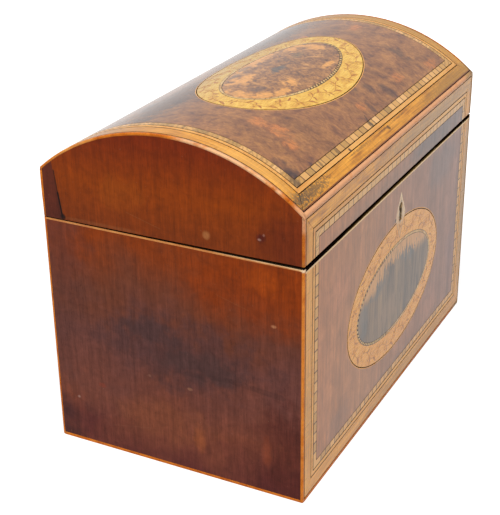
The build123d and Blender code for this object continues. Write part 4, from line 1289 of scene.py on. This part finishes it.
RECIPES: dict[Finish, Recipe] = {
    Finish.END: EndVeneer(),
    Finish.FRONT_FIELD: FieldVeneer(),
    Finish.DOME_FIELD: DomeVeneer(),
    Finish.FRONT_CROSS: Crossbanding(
        Face.FRONT, ((0.34, "#ca8630"), (0.5, "#e49c38"), (0.66, "#f2ac44"))),
    Finish.DOME_CROSS: Crossbanding(
        Face.DOME, ((0.36, "#b06c1c"), (0.46, "#d28a26"), (0.56, "#e89d2e"), (0.68, "#f5b044")), gloss=0.27),
    # Near-black for the dark lines; on the front rim slip it is painted shade under the seam gap.
    Finish.DARK_LINE: PlainWood("#0c0604", "#22130c", roughness=0.5, gloss=0.0, wear=SLIP_LOWER_BROWN),
    Finish.LIGHT_LINE: PlainWood("#d88e3c", "#f4b662", roughness=0.34, gloss=0.27, wear=LINE_WEAR),
    Finish.RIM_STRING: PlainWood("#b4672a", "#d68f46", roughness=0.4, wear=RIM_WEAR),
    Finish.EDGE_STRING: PlainWood("#b6560e", "#e6862a", roughness=0.42, gloss=0.08, wear=ARC_WEAR_AND_HIGHLIGHT),
    Finish.LADDER_BLOCK: TonedWood(((0.1, "#a27436"), (0.3, "#cb9449"), (0.6, "#e0a458"), (0.9, "#f0b468"))),
    Finish.ARCH_BLOCK: TonedWood(
        ((0.1, "#9c7a44"), (0.3, "#cf9a52"), (0.6, "#e9b068"), (0.85, "#f3bd7c"), (1.0, "#e8954a")),
        hatch=Hatch(), wear=LADDER_WEAR),
    Finish.LADDER_RUNG: TonedWood(((0.1, "#3a2412"), (0.5, "#714820"), (0.75, "#8a6232"), (1.0, "#ba8c50"))),
    Finish.FRONT_BAND: OvalBand(
        Face.FRONT, ((0.32, "#da9030"), (0.5, "#eea034"), (0.68, "#f8b046"))),
    Finish.DOME_BAND: OvalBand(
        Face.DOME, ((0.32, "#d89c38"), (0.5, "#edb848"), (0.68, "#facc5e")), gloss=0.27),
    Finish.GREY_PANEL: GreyPanel(),
    Finish.BURR_PANEL: BurrPanel(),
    Finish.CHEQUER_RING: PlainWood("#22140c", "#4a2f1a", roughness=0.36, gloss=0.15),
    Finish.CHEQUER: TonedWood(((0.1, "#c29050"), (0.9, "#edc684"))),
    Finish.VINE: TonedWood(((0.1, "#985414"), (0.5, "#b8721f"), (0.9, "#d29032")), fibre_share=0.35),
    Finish.BONE: Bone(),
    Finish.CARCASS: PlainWood("#7d5a34", "#a98054", (22, 3, 1.4), 0.6, 0.3, KEYHOLE_SHADE),
    Finish.LINING: PlainWood("#63301a", "#8c5028", (18, 2, 1.2), 0.42, 0.35),
    Finish.KNOB: PlainWood("#2e1a10", "#5c3620", (2, 2, 5), 0.26, 0.5),
    Finish.BRASS: Metal("#c9a14e", "#7d6434"),
    Finish.SCREW_BRASS: Metal("#b48a3e", "#5e4a24", 0.36),
    Finish.STEEL: Metal("#8e8c88", "#4b4642", 0.35),
}


def put(name: str, data: bpy.types.ID) -> bpy.types.Object:
    """Makes an object of a mesh, a lamp or a camera and puts it in the scene.

    Args:
        name: The object's name.
        data: What it shows.

    Returns:
        The object.
    """
    thing = bpy.data.objects.new(name, data)
    bpy.context.scene.collection.objects.link(thing)
    return thing


def whole(bm: bmesh.types.BMesh) -> list[bmesh.types.BMVert | bmesh.types.BMEdge | bmesh.types.BMFace]:
    """Lists all points, edges and faces of a mesh."""
    return list(bm.verts) + list(bm.edges) + list(bm.faces)


def drawn_out(bm: bmesh.types.BMesh, faces: list[bmesh.types.BMFace]) -> list[bmesh.types.BMVert]:
    """Extrudes faces where they stand and gives the new points, to be moved."""
    made = bmesh.ops.extrude_face_region(bm, geom=faces)["geom"]
    return [part for part in made if isinstance(part, bmesh.types.BMVert)]


def finish_piece(name: str, bm: bmesh.types.BMesh, material: bpy.types.Material, body: str, slot: str,
                 *replaced: str) -> bpy.types.Object:
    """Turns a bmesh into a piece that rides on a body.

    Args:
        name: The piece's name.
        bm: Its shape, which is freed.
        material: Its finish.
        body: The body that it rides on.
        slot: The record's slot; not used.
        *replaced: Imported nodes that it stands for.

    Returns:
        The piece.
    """
    mesh = bpy.data.meshes.new(name)
    bm.to_mesh(mesh)
    bm.free()
    mesh.materials.append(material)
    piece = put(name, mesh)
    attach(piece, body)
    if replaced:
        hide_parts(*replaced)
    LOG.info("%s: %d faces on %s", name, len(mesh.polygons), body)
    return piece


def dress(material: bpy.types.Material, *nodes: str) -> None:
    """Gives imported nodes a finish.

    Args:
        material: The finish.
        *nodes: Names of the nodes.
    """
    for name in nodes:
        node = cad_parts[name]
        if not node.material_slots:
            node.data.materials.append(material)
        for place in node.material_slots:
            place.material = material
        LOG.info("%s wears %s", name, material.name)


def copy_of(node: str) -> bmesh.types.BMesh:
    """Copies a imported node's shape with its corners joined.

    Args:
        node: The node's name.

    Returns:
        The copy.
    """
    bm = bmesh.new()
    bm.from_mesh(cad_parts[node].data)
    bmesh.ops.remove_doubles(bm, verts=bm.verts, dist=0.002 * MM)
    return bm


def separate_pieces(bm: bmesh.types.BMesh) -> list[list[bmesh.types.BMVert]]:
    """Sorts a mesh's points into its separate pieces.

    Args:
        bm: The mesh.

    Returns:
        Each piece's points, in the mesh's own order.
    """
    seen: set[int] = set()
    pieces = []
    bm.verts.index_update()
    for start in bm.verts:
        if start.index in seen:
            continue
        seen.add(start.index)
        piece = [start]
        for vert in piece:
            for edge in vert.link_edges:
                other = edge.other_vert(vert)
                if other.index not in seen:
                    seen.add(other.index)
                    piece.append(other)
        pieces.append(piece)
    return pieces


class SubAssembly(ABC):
    """A part of the caddy that is made and dressed on its own."""

    @abstractmethod
    def build(self, shelf: Shelf) -> None:
        """Makes and dresses it.

        Args:
            shelf: Every finish.
        """


@dataclass
class WornStrings(SubAssembly):
    """The corner strings of one half of the case, with their arrises rubbed round."""

    node: str
    body: str
    ease: float = 0.42 * MM
    rub: float = 0.16 * MM
    cut: float = 5.0 * MM
    near: float = 0.07 * MM
    segments: int = 3
    sharp: float = 25.0
    edge_zone: float = 0.6 * MM
    uneven_share: float = 0.15
    uneven_step: float = 7 * MM

    def build(self, shelf: Shelf) -> None:
        """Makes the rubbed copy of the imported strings.

        Args:
            shelf: Every finish.
        """
        bm = copy_of(self.node)
        bmesh.ops.dissolve_limit(bm, angle_limit=math.radians(0.5), verts=bm.verts, edges=bm.edges)
        arrises = [edge for edge in bm.edges if self._is_arris(edge)]
        bmesh.ops.bevel(bm, geom=arrises, offset=self.ease, offset_type="OFFSET", segments=self.segments,
                        profile=0.5, affect="EDGES", material=-1, clamp_overlap=True)
        self._slice(bm)
        low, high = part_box(self.node)
        for vert in bm.verts:
            self._rub(vert)
            vert.co = Vector(map(max, low, map(min, high, vert.co)))
        for face in bm.faces:
            face.smooth = True
        finish_piece("worn_" + self.node, bm, shelf[Finish.EDGE_STRING], self.body, "light_string", self.node)

    def _is_arris(self, edge: bmesh.types.BMEdge) -> bool:
        """Tells whether an edge lies on an outer corner of the case.

        Args:
            edge: An edge of the strings.

        Returns:
            True for an outer corner.
        """
        middle = (edge.verts[0].co + edge.verts[1].co) / 2
        points = [vert.co for vert in edge.verts] + [middle]
        return all(self._outer_faces(point) >= 2 for point in points) and len(edge.link_faces) == 2 \
            and edge.calc_face_angle(0) > math.radians(self.sharp)

    def _outer_faces(self, point: Vector) -> int:
        """Counts the outer faces of the case that a point lies on.

        Args:
            point: A point of the strings.

        Returns:
            How many of the ends, sides, dome and underside it touches.
        """
        reach = math.hypot(point.y, point.z - DOME.centre_z)
        on_dome = point.z > DOME.spring_z - self.near and abs(reach - DOME.radius) < self.near
        return sum((abs(abs(point.x) - HALF_LENGTH) < self.near, abs(abs(point.y) - HALF_DEPTH) < self.near,
                    on_dome, abs(point.z) < self.near))

    def _slice(self, bm: bmesh.types.BMesh) -> None:
        """Cuts long strings into short lengths, so that wear can vary along them.

        Args:
            bm: The strings.
        """
        for axis, reach in ((0, HALF_LENGTH), (1, HALF_DEPTH), (2, TOP_Z)):
            place = -reach + self.cut
            while place < reach:
                point, normal = Vector((0, 0, 0)), Vector((0, 0, 0))
                point[axis], normal[axis] = place, 1.0
                bmesh.ops.bisect_plane(bm, geom=whole(bm), dist=0.001 * MM, plane_co=point, plane_no=normal)
                place += self.cut

    def _rub(self, vert: bmesh.types.BMVert) -> None:
        """Moves a point of the rounded arris inwards a little.

        Args:
            vert: A point of the strings.
        """
        if self._outer_faces(vert.co) != 0:
            return
        at_end = abs(vert.co.x) > HALF_LENGTH - self.edge_zone
        if at_end or abs(vert.co.y) > HALF_DEPTH - self.edge_zone:
            amount = self.uneven_share + self.uneven_share * noise.noise(vert.co / self.uneven_step)
            inwards = Vector((-math.copysign(1, vert.co.x), -math.copysign(1, vert.co.y), 0)).normalized()
            vert.co += inwards * self.rub * amount


@dataclass
class BoxCase(SubAssembly):
    """The box: its boards, plain veneers, rim strings and corner strings."""

    def build(self, shelf: Shelf) -> None:
        """Dresses the boards and veneers and rubs the corner strings.

        Args:
            shelf: Every finish.
        """
        dress(shelf[Finish.CARCASS], "base_board", "carcass_front", "carcass_back", "carcass_left",
              "carcass_right")
        dress(shelf[Finish.END], "veneer_left", "veneer_right", "veneer_back")
        dress(shelf[Finish.FRONT_FIELD], "veneer_front")
        dress(shelf[Finish.RIM_STRING], "rim_strings")
        WornStrings("edge_strings", "box").build(shelf)


@dataclass
class LidCase(SubAssembly):
    """The lid: its rails, ends, dome board, plain veneers and corner strings."""

    def build(self, shelf: Shelf) -> None:
        """Dresses the boards and veneers and rubs the corner strings.

        Args:
            shelf: Every finish.
        """
        dress(shelf[Finish.CARCASS], "lid_front_rail", "lid_back_rail", "lid_end_left", "lid_end_right",
              "lid_dome_board")
        dress(shelf[Finish.END], "lid_veneer_left", "lid_veneer_right", "lid_veneer_back")
        dress(shelf[Finish.FRONT_FIELD], "lid_veneer_front")
        dress(shelf[Finish.DOME_FIELD], "lid_veneer_top")
        WornStrings("lid_edge_strings", "lid").build(shelf)


@dataclass
class Banding(SubAssembly):
    """The frame of one face: crossbanding, dark and light lines, and a ladder string."""

    face: Face
    body: str
    cross: Finish
    blocks: Finish
    seed: int
    climbs_from: float = 78 * MM
    paler: float = 0.9
    drift_step: float = 16 * MM

    def build(self, shelf: Shelf) -> None:
        """Dresses the bands and gives each block and rung of the ladder its own tone.

        Args:
            shelf: Every finish.
        """
        name = self.face.value
        dress(shelf[self.cross], name + "_crossbanding")
        dress(shelf[Finish.DARK_LINE], name + "_dark_lines")
        dress(shelf[Finish.LIGHT_LINE], name + "_light_lines")
        self._toned(name + "_ladder_blocks", shelf[self.blocks], "light_string")
        self._toned(name + "_ladder_rungs", shelf[Finish.LADDER_RUNG], "dark_string")

    def _toned(self, node: str, material: bpy.types.Material, slot: str) -> None:
        """Copies a node and gives each of its separate blocks a tone.

        Args:
            node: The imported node.
            material: The finish that reads the tone.
            slot: The record's slot.
        """
        bm = copy_of(node)
        tone = bm.verts.layers.float.new("tone")
        chance = random.Random(self.seed + len(node))
        for block in separate_pieces(bm):
            middle = sum((vert.co for vert in block), Vector()) / len(block)
            drift = 0.5 + 0.5 * noise.noise(middle / self.drift_step)
            shade = 0.4 * drift + 0.75 * chance.random() - 0.08
            is_front = middle.z < DOME.spring_z
            is_rung = slot == "dark_string"
            if self.face is Face.DOME and is_rung and (is_front or abs(middle.x) > self.climbs_from):
                shade += self.paler / 2 if is_front else self.paler
            elif self.face is Face.DOME and is_front:
                shade = 0.45 + 0.25 * shade
            for vert in block:
                vert[tone] = shade
        finish_piece("toned_" + node, bm, material, self.body, slot, node)


@dataclass
class Ellipse:
    """The oval's own measure: how far round it, how far in from its rim and how far off its sheet."""

    sheet: Dome | FrontFace
    across: float
    along: float
    half_long: float
    half_high: float
    steps: int = 720

    def point(self, angle: float, inset: float, lift: float) -> Vector:
        """Gives a point of the oval.

        Args:
            angle: Angle on the ellipse.
            inset: How far in from the oval's rim.
            lift: Height above the sheet.

        Returns:
            The point in the caddy's frame.
        """
        across = self.across + (self.half_long - inset) * math.cos(angle)
        along = self.along + (self.half_high - inset) * math.sin(angle)
        return self.sheet.place(across, along, lift)

    def marks(self, inset: float) -> list[tuple[float, float]]:
        """Measures along an inner ellipse.

        Args:
            inset: How far both half axes are shortened.

        Returns:
            Arc length and angle at each step.
        """
        length, marks, last = 0.0, [], None
        for step in range(self.steps + 1):
            angle = math.tau * step / self.steps
            point = Vector((math.cos(angle) * (self.half_long - inset),
                            math.sin(angle) * (self.half_high - inset)))
            length += (point - last).length if last is not None else 0.0
            marks.append((length, angle))
            last = point
        return marks

    @staticmethod
    def angle_at(marks: list[tuple[float, float]], length: float) -> float:
        """Finds the angle at an arc length.

        Args:
            marks: What marks() measured.
            length: Arc length, which may run past either end.

        Returns:
            The angle on the ellipse.
        """
        turns, rest = divmod(length, marks[-1][0])
        low, high = 0, len(marks) - 1
        while high - low > 1:
            middle = (low + high) // 2
            if marks[middle][0] <= rest:
                low = middle
            else:
                high = middle
        share = (rest - marks[low][0]) / (marks[high][0] - marks[low][0])
        return turns * math.tau + marks[low][1] + share * (marks[high][1] - marks[low][1])


@dataclass
class Vine:
    """A generic trailing vine for an oval band: a waving stem, leaves, tendrils and berries."""

    oval: Ellipse
    middle: float
    seed: int
    waves: int = 12
    sway: float = 1.8 * MM
    stem: float = 0.3 * MM
    leaf_length: float = 3.8 * MM
    leaf_share: float = 0.3
    tendril_foot: float = 0.4 * MM
    tendril_length: float = 2.2 * MM
    berry: float = 0.8 * MM
    berry_foot: float = 2.3 * MM
    proud: float = 0.02 * MM
    sunk: float = 0.05 * MM
    steps_per_wave: int = 12

    def shape(self) -> bmesh.types.BMesh:
        """Makes the vine.

        Returns:
            Its shape, with a tone on every point.
        """
        self.bm = bmesh.new()
        self.tone = self.bm.verts.layers.float.new("tone")
        self.marks = self.oval.marks(self.middle)
        self.wave = self.marks[-1][0] / self.waves
        self._stem()
        chance = random.Random(self.seed)
        for turn in range(self.waves * 2):
            crest = (turn + 0.5) * self.wave / 2
            side = 1 if turn % 2 == 0 else -1
            self._spray(crest, side, chance)
        bmesh.ops.recalc_face_normals(self.bm, faces=self.bm.faces)
        return self.bm

    def _off(self, length: float) -> float:
        """Gives how far the stem has swung from the band's middle, a length round the band."""
        return self.sway * math.sin(math.tau * length / self.wave)

    def _stem(self) -> None:
        """Lays the stem in short lengths."""
        pieces = self.waves * self.steps_per_wave
        around = self.marks[-1][0]
        for step in range(pieces):
            bar = bmesh.ops.create_cube(self.bm, size=1.0)["verts"]
            for vert in bar:
                at = around * (step + vert.co.x + 0.5) / pieces
                inset = self.middle + self._off(at) + vert.co.y * self.stem
                vert[self.tone] = 0.45 + 0.2 * noise.noise(Vector((at / (3 * MM), 0, 0)))
                height = self.proud if vert.co.z > 0 else -self.sunk
                vert.co = self.oval.point(self.oval.angle_at(self.marks, at), inset, height)

    def _spray(self, crest: float, side: int, chance: random.Random) -> None:
        """Lays the leaves, a tendril and a berry at one crest of the stem.

        Args:
            crest: How far round the band the crest lies.
            side: 1 or -1, the side that the stem swings to.
            chance: Where small differences come from.
        """
        for shift, lean, size in ((-0.18, 0.75, 0.95), (0.05, 0.1, 1.2), (0.3, 1.0, 0.8)):
            at = crest + shift * self.wave
            length = self.leaf_length * size * chance.uniform(0.8, 1.15)
            turned = side * lean * chance.uniform(0.8, 1.2)
            shade = chance.uniform(0.2, 0.75)
            width = length * self.leaf_share
            self._plate(at, self._off(at), turned, length, width, 0.8, 12, shade, side * 0.5)
        at = crest + 0.24 * self.wave
        foot = self._off(at) - side * self.tendril_foot
        self._plate(at, foot, -side * 1.9, self.tendril_length, self.stem, 0.0, 10, 0.4, side * 1.1)
        foot = self._off(at) - side * self.berry_foot
        self._plate(at, foot, 0.0, self.berry, self.berry, 0.0, 8, 0.15, 0.0)

    def _plate(self, at: float, off: float, turn: float, length: float, width: float, point: float,
               segments: int, shade: float, bend: float) -> None:
        """Lays one thin leaf, tendril or berry.

        Args:
            at: How far round the band its foot lies.
            off: How far its foot lies from the band's middle.
            turn: Turn of the leaf from the stem's way, in radians.
            length: Length of the leaf.
            width: Its widest width.
            point: How pointed its ends are, from 0 to 1.
            segments: Points of its outline.
            shade: Its tone, darker at the foot.
            bend: How far it curls along its length, in radians.
        """
        ring = bmesh.ops.create_circle(self.bm, cap_ends=True, radius=1.0, segments=segments)["verts"]
        face = next(iter(ring[0].link_faces))
        for vert in ring:
            along = (vert.co.x + 1) / 2
            bulge = vert.co.y * (1 - point * abs(vert.co.x) ** 1.5) * width / 2
            heading = Matrix.Rotation(turn + bend * along, 2)
            lean = heading @ Vector((along * length, bulge))
            vert[self.tone] = shade + 0.35 * (along - 0.5)
            angle = self.oval.angle_at(self.marks, at + lean.x)
            vert.co = self.oval.point(angle, self.middle + off + lean.y, -self.sunk)
        for vert in drawn_out(self.bm, [face]):
            vert.co += self._outwards(vert.co) * (self.sunk + self.proud)

    def _outwards(self, point: Vector) -> Vector:
        """Gives the way off the sheet at a point.

        Args:
            point: A point of the sheet.

        Returns:
            A unit vector.
        """
        if isinstance(self.oval.sheet, FrontFace):
            return Vector((0, -1, 0))
        return Vector((0, point.y, point.z - DOME.centre_z)).normalized()


@dataclass
class OvalInlay(SubAssembly):
    """One oval: its band, its panel, its chequered string and the vine along its band."""

    face: Face
    body: str
    oval: Ellipse
    band_finish: Finish
    panel_finish: Finish
    rings: float = OVAL_RINGS * MM
    band: float = OVAL_BAND * MM
    outline: float = 0.25 * MM
    block: float = 1.0 * MM
    pitch: float = 2.2 * MM
    clear_ticks: tuple[float, float] = (95.0, 260.0)
    ticked_share: float = 0.56
    filled_share: float = 0.93
    slant: float = 0.55 * MM
    proud: float = 0.02 * MM
    sunk: float = 0.06 * MM

    def build(self, shelf: Shelf) -> None:
        """Dresses the band and panel, and makes the chequered string and the vine.

        Args:
            shelf: Every finish.
        """
        name = self.face.value
        dress(shelf[self.band_finish], name + "_oval_band")
        dress(shelf[self.panel_finish], name + "_oval_panel")
        dress(shelf[Finish.CHEQUER_RING], name + "_oval_chequer")
        finish_piece(name + "_chequer_blocks", self._blocks(), shelf[Finish.CHEQUER], self.body, "chequer")
        vine = Vine(self.oval, self.rings + self.band / 2, seed=len(name) * 7)
        finish_piece(name + "_vine", vine.shape(), shelf[Finish.VINE], self.body, "oval_band")

    def _blocks(self) -> bmesh.types.BMesh:
        """Makes the light, slanted blocks that lie on the dark string.

        Returns:
            The blocks, with a tone on every point.
        """
        chance = random.Random(len(self.face.value))
        outer = self.rings + self.band + self.outline
        marks = self.oval.marks(outer + self.block / 2)
        count = round(marks[-1][0] / self.pitch)
        pitch = marks[-1][0] / count
        bm = bmesh.new()
        tone = bm.verts.layers.float.new("tone")
        for turn in range(count):
            middle = (turn + chance.uniform(-0.06, 0.06)) * pitch
            angle = math.degrees(self.oval.angle_at(marks, middle)) % 360
            is_clear = self.clear_ticks[0] < angle < self.clear_ticks[1]
            share = self.ticked_share if is_clear else self.filled_share
            length = pitch * share * chance.uniform(0.93, 1.07)
            shade = chance.random()
            for vert in bmesh.ops.create_cube(bm, size=1.0)["verts"]:
                along, deep, high = vert.co
                at = middle + along * length + deep * self.slant
                inset = outer + self.block * (deep + 0.5)
                lift = self.proud if high > 0 else -self.sunk
                vert.co = self.oval.point(self.oval.angle_at(marks, at), inset, lift)
                vert[tone] = shade
        bmesh.ops.recalc_face_normals(bm, faces=bm.faces)
        return bm


@dataclass
class Lock(SubAssembly):
    """The escutcheon, the lock in the front board and the link plate over it."""

    def build(self, shelf: Shelf) -> None:
        """Dresses the escutcheon and the lock's metal pieces.

        Args:
            shelf: Every finish.
        """
        dress(shelf[Finish.BONE], "escutcheon")
        dress(shelf[Finish.BRASS], "lock_plate", "lock_cap", "link_plate")
        dress(shelf[Finish.STEEL], "lock_key_pin", "lock_spring", "lock_bolt")


@dataclass
class Hinges(SubAssembly):
    """The two stopped butt hinges at the back."""

    def build(self, shelf: Shelf) -> None:
        """Dresses the leaves and pins.

        Args:
            shelf: Every finish.
        """
        dress(shelf[Finish.BRASS], "hinge_box_leaves", "hinge_lid_leaves")
        dress(shelf[Finish.STEEL], "hinge_pins")


@dataclass
class SlottedScrews(SubAssembly):
    """Round countersunk screws with a cut slot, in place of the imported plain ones."""

    node: str
    body: str
    heads_up: bool
    head_radius: float = 1.6 * MM
    shank_radius: float = 0.8 * MM
    head_depth: float = 0.9 * MM
    slot_width: float = 0.5 * MM
    slot_depth: float = 0.4 * MM
    segments: int = 28

    def build(self, shelf: Shelf) -> None:
        """Makes one slotted screw at each packed one.

        Args:
            shelf: Every finish.
        """
        plain = copy_of(self.node)
        chance = random.Random(len(self.node))
        bm = bmesh.new()
        for piece in separate_pieces(plain):
            low = Vector([min(vert.co[axis] for vert in piece) for axis in range(3)])
            high = Vector([max(vert.co[axis] for vert in piece) for axis in range(3)])
            self._screw(bm, low, high, chance.uniform(0, math.pi))
        plain.free()
        bmesh.ops.recalc_face_normals(bm, faces=bm.faces)
        finish_piece("slotted_" + self.node, bm, shelf[Finish.SCREW_BRASS], self.body, "brass", self.node)

    def _screw(self, bm: bmesh.types.BMesh, low: Vector, high: Vector, turn: float) -> None:
        """Adds one screw.

        Args:
            bm: The mesh to add it to.
            low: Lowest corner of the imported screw.
            high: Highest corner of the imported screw.
            turn: Which way the slot lies, in radians.
        """
        one = bmesh.new()
        length = high.z - low.z
        bmesh.ops.create_cone(one, cap_ends=True, segments=self.segments, radius1=self.shank_radius,
                              radius2=self.head_radius, depth=self.head_depth)
        bmesh.ops.translate(one, verts=one.verts, vec=(0, 0, length - self.head_depth / 2))
        bottom = min(one.faces, key=lambda face: face.calc_center_median().z)
        tips = drawn_out(one, [bottom])
        bmesh.ops.translate(one, verts=tips, vec=(0, 0, self.head_depth - length))
        bmesh.ops.delete(one, geom=[bottom], context="FACES_ONLY")
        for side in (-0.5, 0.5):
            place = (side * self.slot_width, 0, 0)
            bmesh.ops.bisect_plane(one, geom=whole(one), plane_co=place, plane_no=(1, 0, 0))
        top = [face for face in one.faces
               if face.normal.z > 0.9 and abs(face.calc_center_median().x) < self.slot_width / 5]
        bmesh.ops.translate(one, verts=drawn_out(one, top), vec=(0, 0, -self.slot_depth))
        bmesh.ops.delete(one, geom=[face for face in top if face.is_valid], context="FACES_ONLY")
        if not self.heads_up:
            bmesh.ops.scale(one, vec=(1, 1, -1), verts=one.verts)
            bmesh.ops.translate(one, vec=(0, 0, length), verts=one.verts)
        bmesh.ops.rotate(one, cent=(0, 0, 0), matrix=Matrix.Rotation(turn, 3, "Z"), verts=one.verts)
        middle = (low + high) / 2
        bmesh.ops.translate(one, verts=one.verts, vec=(middle.x, middle.y, low.z))
        scratch = bpy.data.meshes.new("screw")
        one.to_mesh(scratch)
        one.free()
        bm.from_mesh(scratch)
        bpy.data.meshes.remove(scratch)


@dataclass
class Interior(SubAssembly):
    """The linings, the division, and the two lift-out inner lids with their knobs."""

    def build(self, shelf: Shelf) -> None:
        """Dresses the inside.

        Args:
            shelf: Every finish.
        """
        dress(shelf[Finish.LINING], "lining_front", "lining_back", "lining_left", "lining_right", "division",
              "inner_lid_left", "inner_lid_right")
        dress(shelf[Finish.KNOB], "knob_left", "knob_right")


@dataclass(frozen=True)
class Camera:
    """The view of the reference: where the camera stands and how it is turned."""

    place: tuple[float, float, float] = (-0.45421, -0.22054, 0.29435)
    azimuth: float = -62.651
    elevation: float = 25.396
    roll: float = -0.768
    lens: float = 86.11
    sensor_width: float = 36.0
    clip_start: float = 0.01

    def build(self) -> None:
        """Makes the camera and gives it to the scene."""
        data = bpy.data.cameras.new("camera")
        data.lens = self.lens
        data.sensor_width = self.sensor_width
        data.clip_start = self.clip_start
        around, up, lean = (math.radians(a) for a in (self.azimuth, self.elevation, self.roll))
        sight = Vector((-math.sin(around) * math.cos(up), math.cos(around) * math.cos(up), -math.sin(up)))
        right = sight.cross(Vector((0, 0, 1))).normalized()
        above = right.cross(sight)
        tilted_right = right * math.cos(lean) + above * math.sin(lean)
        tilted_above = above * math.cos(lean) - right * math.sin(lean)
        turn = Matrix((tilted_right, tilted_above, -sight)).transposed().to_4x4()
        camera = put("camera", data)
        camera.matrix_world = Matrix.Translation(self.place) @ turn
        bpy.context.scene.camera = camera


@dataclass(frozen=True)
class Studio:
    """A pale floor, an even sky and a soft lamp."""

    floor_size: float = 6.0
    sky: float = 0.45
    floor_shade: float = 0.65
    glow_near: float = 0.62
    glow_far: float = 0.95
    lamp_place: tuple[float, float, float] = (-0.7, -0.25, 1.25)
    lamp_aim: tuple[float, float, float] = (0, 0, 0.07)
    lamp_power: float = 14.0
    lamp_size: float = 0.9

    def build(self) -> None:
        """Makes the floor, the sky and the lamp."""
        self._sky()
        self._floor()
        data = bpy.data.lights.new("key_lamp", "AREA")
        data.energy = self.lamp_power
        data.size = self.lamp_size
        towards = Vector(self.lamp_aim) - Vector(self.lamp_place)
        turn = towards.to_track_quat("-Z", "Y").to_matrix().to_4x4()
        put("key_lamp", data).matrix_world = Matrix.Translation(self.lamp_place) @ turn

    def _seen(self, tree: bpy.types.NodeTree) -> Socket:
        """Tells whether a ray looks at the background or mirrors it.

        Args:
            tree: The nodes to add to.

        Returns:
            1 for camera, glossy and transmission rays.
        """
        path = tree.nodes.new("ShaderNodeLightPath")
        seen = path.outputs["Is Camera Ray"]
        for kind in ("Is Glossy Ray", "Is Transmission Ray"):
            either = tree.nodes.new("ShaderNodeMath")
            either.operation = "MAXIMUM"
            tree.links.new(seen, either.inputs[0])
            tree.links.new(path.outputs[kind], either.inputs[1])
            seen = either.outputs[0]
        return seen

    def _sky(self) -> None:
        """Makes the even sky, white where it is seen."""
        world = bpy.data.worlds.new("studio")
        world.use_nodes = True
        tree = world.node_tree
        shade = tree.nodes["Background"]
        shade.inputs["Color"].default_value = (1, 1, 1, 1)
        level = tree.nodes.new("ShaderNodeMapRange")
        level.inputs["To Min"].default_value = self.sky
        level.inputs["To Max"].default_value = 1.0
        tree.links.new(self._seen(tree), level.inputs["Value"])
        tree.links.new(level.outputs[0], shade.inputs["Strength"])
        bpy.context.scene.world = world

    def _floor(self) -> None:
        """Makes the floor, which keeps the caddy's shadow near it and is white further off."""
        mesh = bpy.data.meshes.new("floor")
        bm = bmesh.new()
        bmesh.ops.create_grid(bm, x_segments=1, y_segments=1, size=self.floor_size / 2)
        bmesh.ops.translate(bm, verts=bm.verts, vec=(0, 0, -0.02 * MM))
        bm.to_mesh(mesh)
        bm.free()
        floor = put("floor", mesh)
        w = Wiring("floor")
        matt = w.add("BsdfDiffuse")
        matt.inputs["Color"].default_value = (self.floor_shade, self.floor_shade, self.floor_shade, 1)
        away = w.add("VectorMath", operation="LENGTH")
        w.feed(away.inputs[0], w.position())
        glow = w.span(away.outputs["Value"], 0.14, 0.5, self.glow_near, self.glow_far)
        lit = w.add("Emission")
        w.feed(lit.inputs["Strength"], w.both(self._seen(w.tree), glow))
        together = w.add("AddShader")
        w.feed(together.inputs[0], matt.outputs[0])
        w.feed(together.inputs[1], lit.outputs[0])
        w.feed(w.add("OutputMaterial").inputs["Surface"], together.outputs[0])
        mesh.materials.append(w.material)


def sub_assemblies() -> list[SubAssembly]:
    """Lists the caddy's sub-assemblies in the order in which they are made.

    Returns:
        The sub-assemblies.
    """
    front_oval = Ellipse(FrontFace(), *(size * MM for size in FRONT_OVAL_MIDDLE + FRONT_OVAL_HALF))
    lid_oval = Ellipse(DOME, DOME_OVAL_X * MM, DOME.half_arc - DOME_OVAL_FORWARD * MM,
                       *(half * MM for half in DOME_OVAL_HALF))
    return [
        BoxCase(),
        LidCase(),
        Banding(Face.FRONT, "box", Finish.FRONT_CROSS, Finish.LADDER_BLOCK, seed=3),
        Banding(Face.DOME, "lid", Finish.DOME_CROSS, Finish.ARCH_BLOCK, seed=11),
        OvalInlay(Face.FRONT, "box", front_oval, Finish.FRONT_BAND, Finish.GREY_PANEL),
        OvalInlay(Face.DOME, "lid", lid_oval, Finish.DOME_BAND, Finish.BURR_PANEL,
                  clear_ticks=(250.0, 356.0)),
        Lock(),
        Hinges(),
        SlottedScrews("box_screws", "box", heads_up=True),
        SlottedScrews("lid_screws", "lid", heads_up=False),
        Interior(),
    ]


def main() -> None:
    """Builds the caddy's looks in order."""
    logging.basicConfig(level=logging.INFO, format="%(name)s: %(message)s")
    bpy.context.scene.view_settings.view_transform = "Standard"
    shelf = {finish: recipe.material(finish.value) for finish, recipe in RECIPES.items()}
    for part in sub_assemblies():
        part.build(shelf)
        LOG.info("%s is done", type(part).__name__)
    Camera().build()
    Studio().build()


if __name__ == "__main__":
    main()
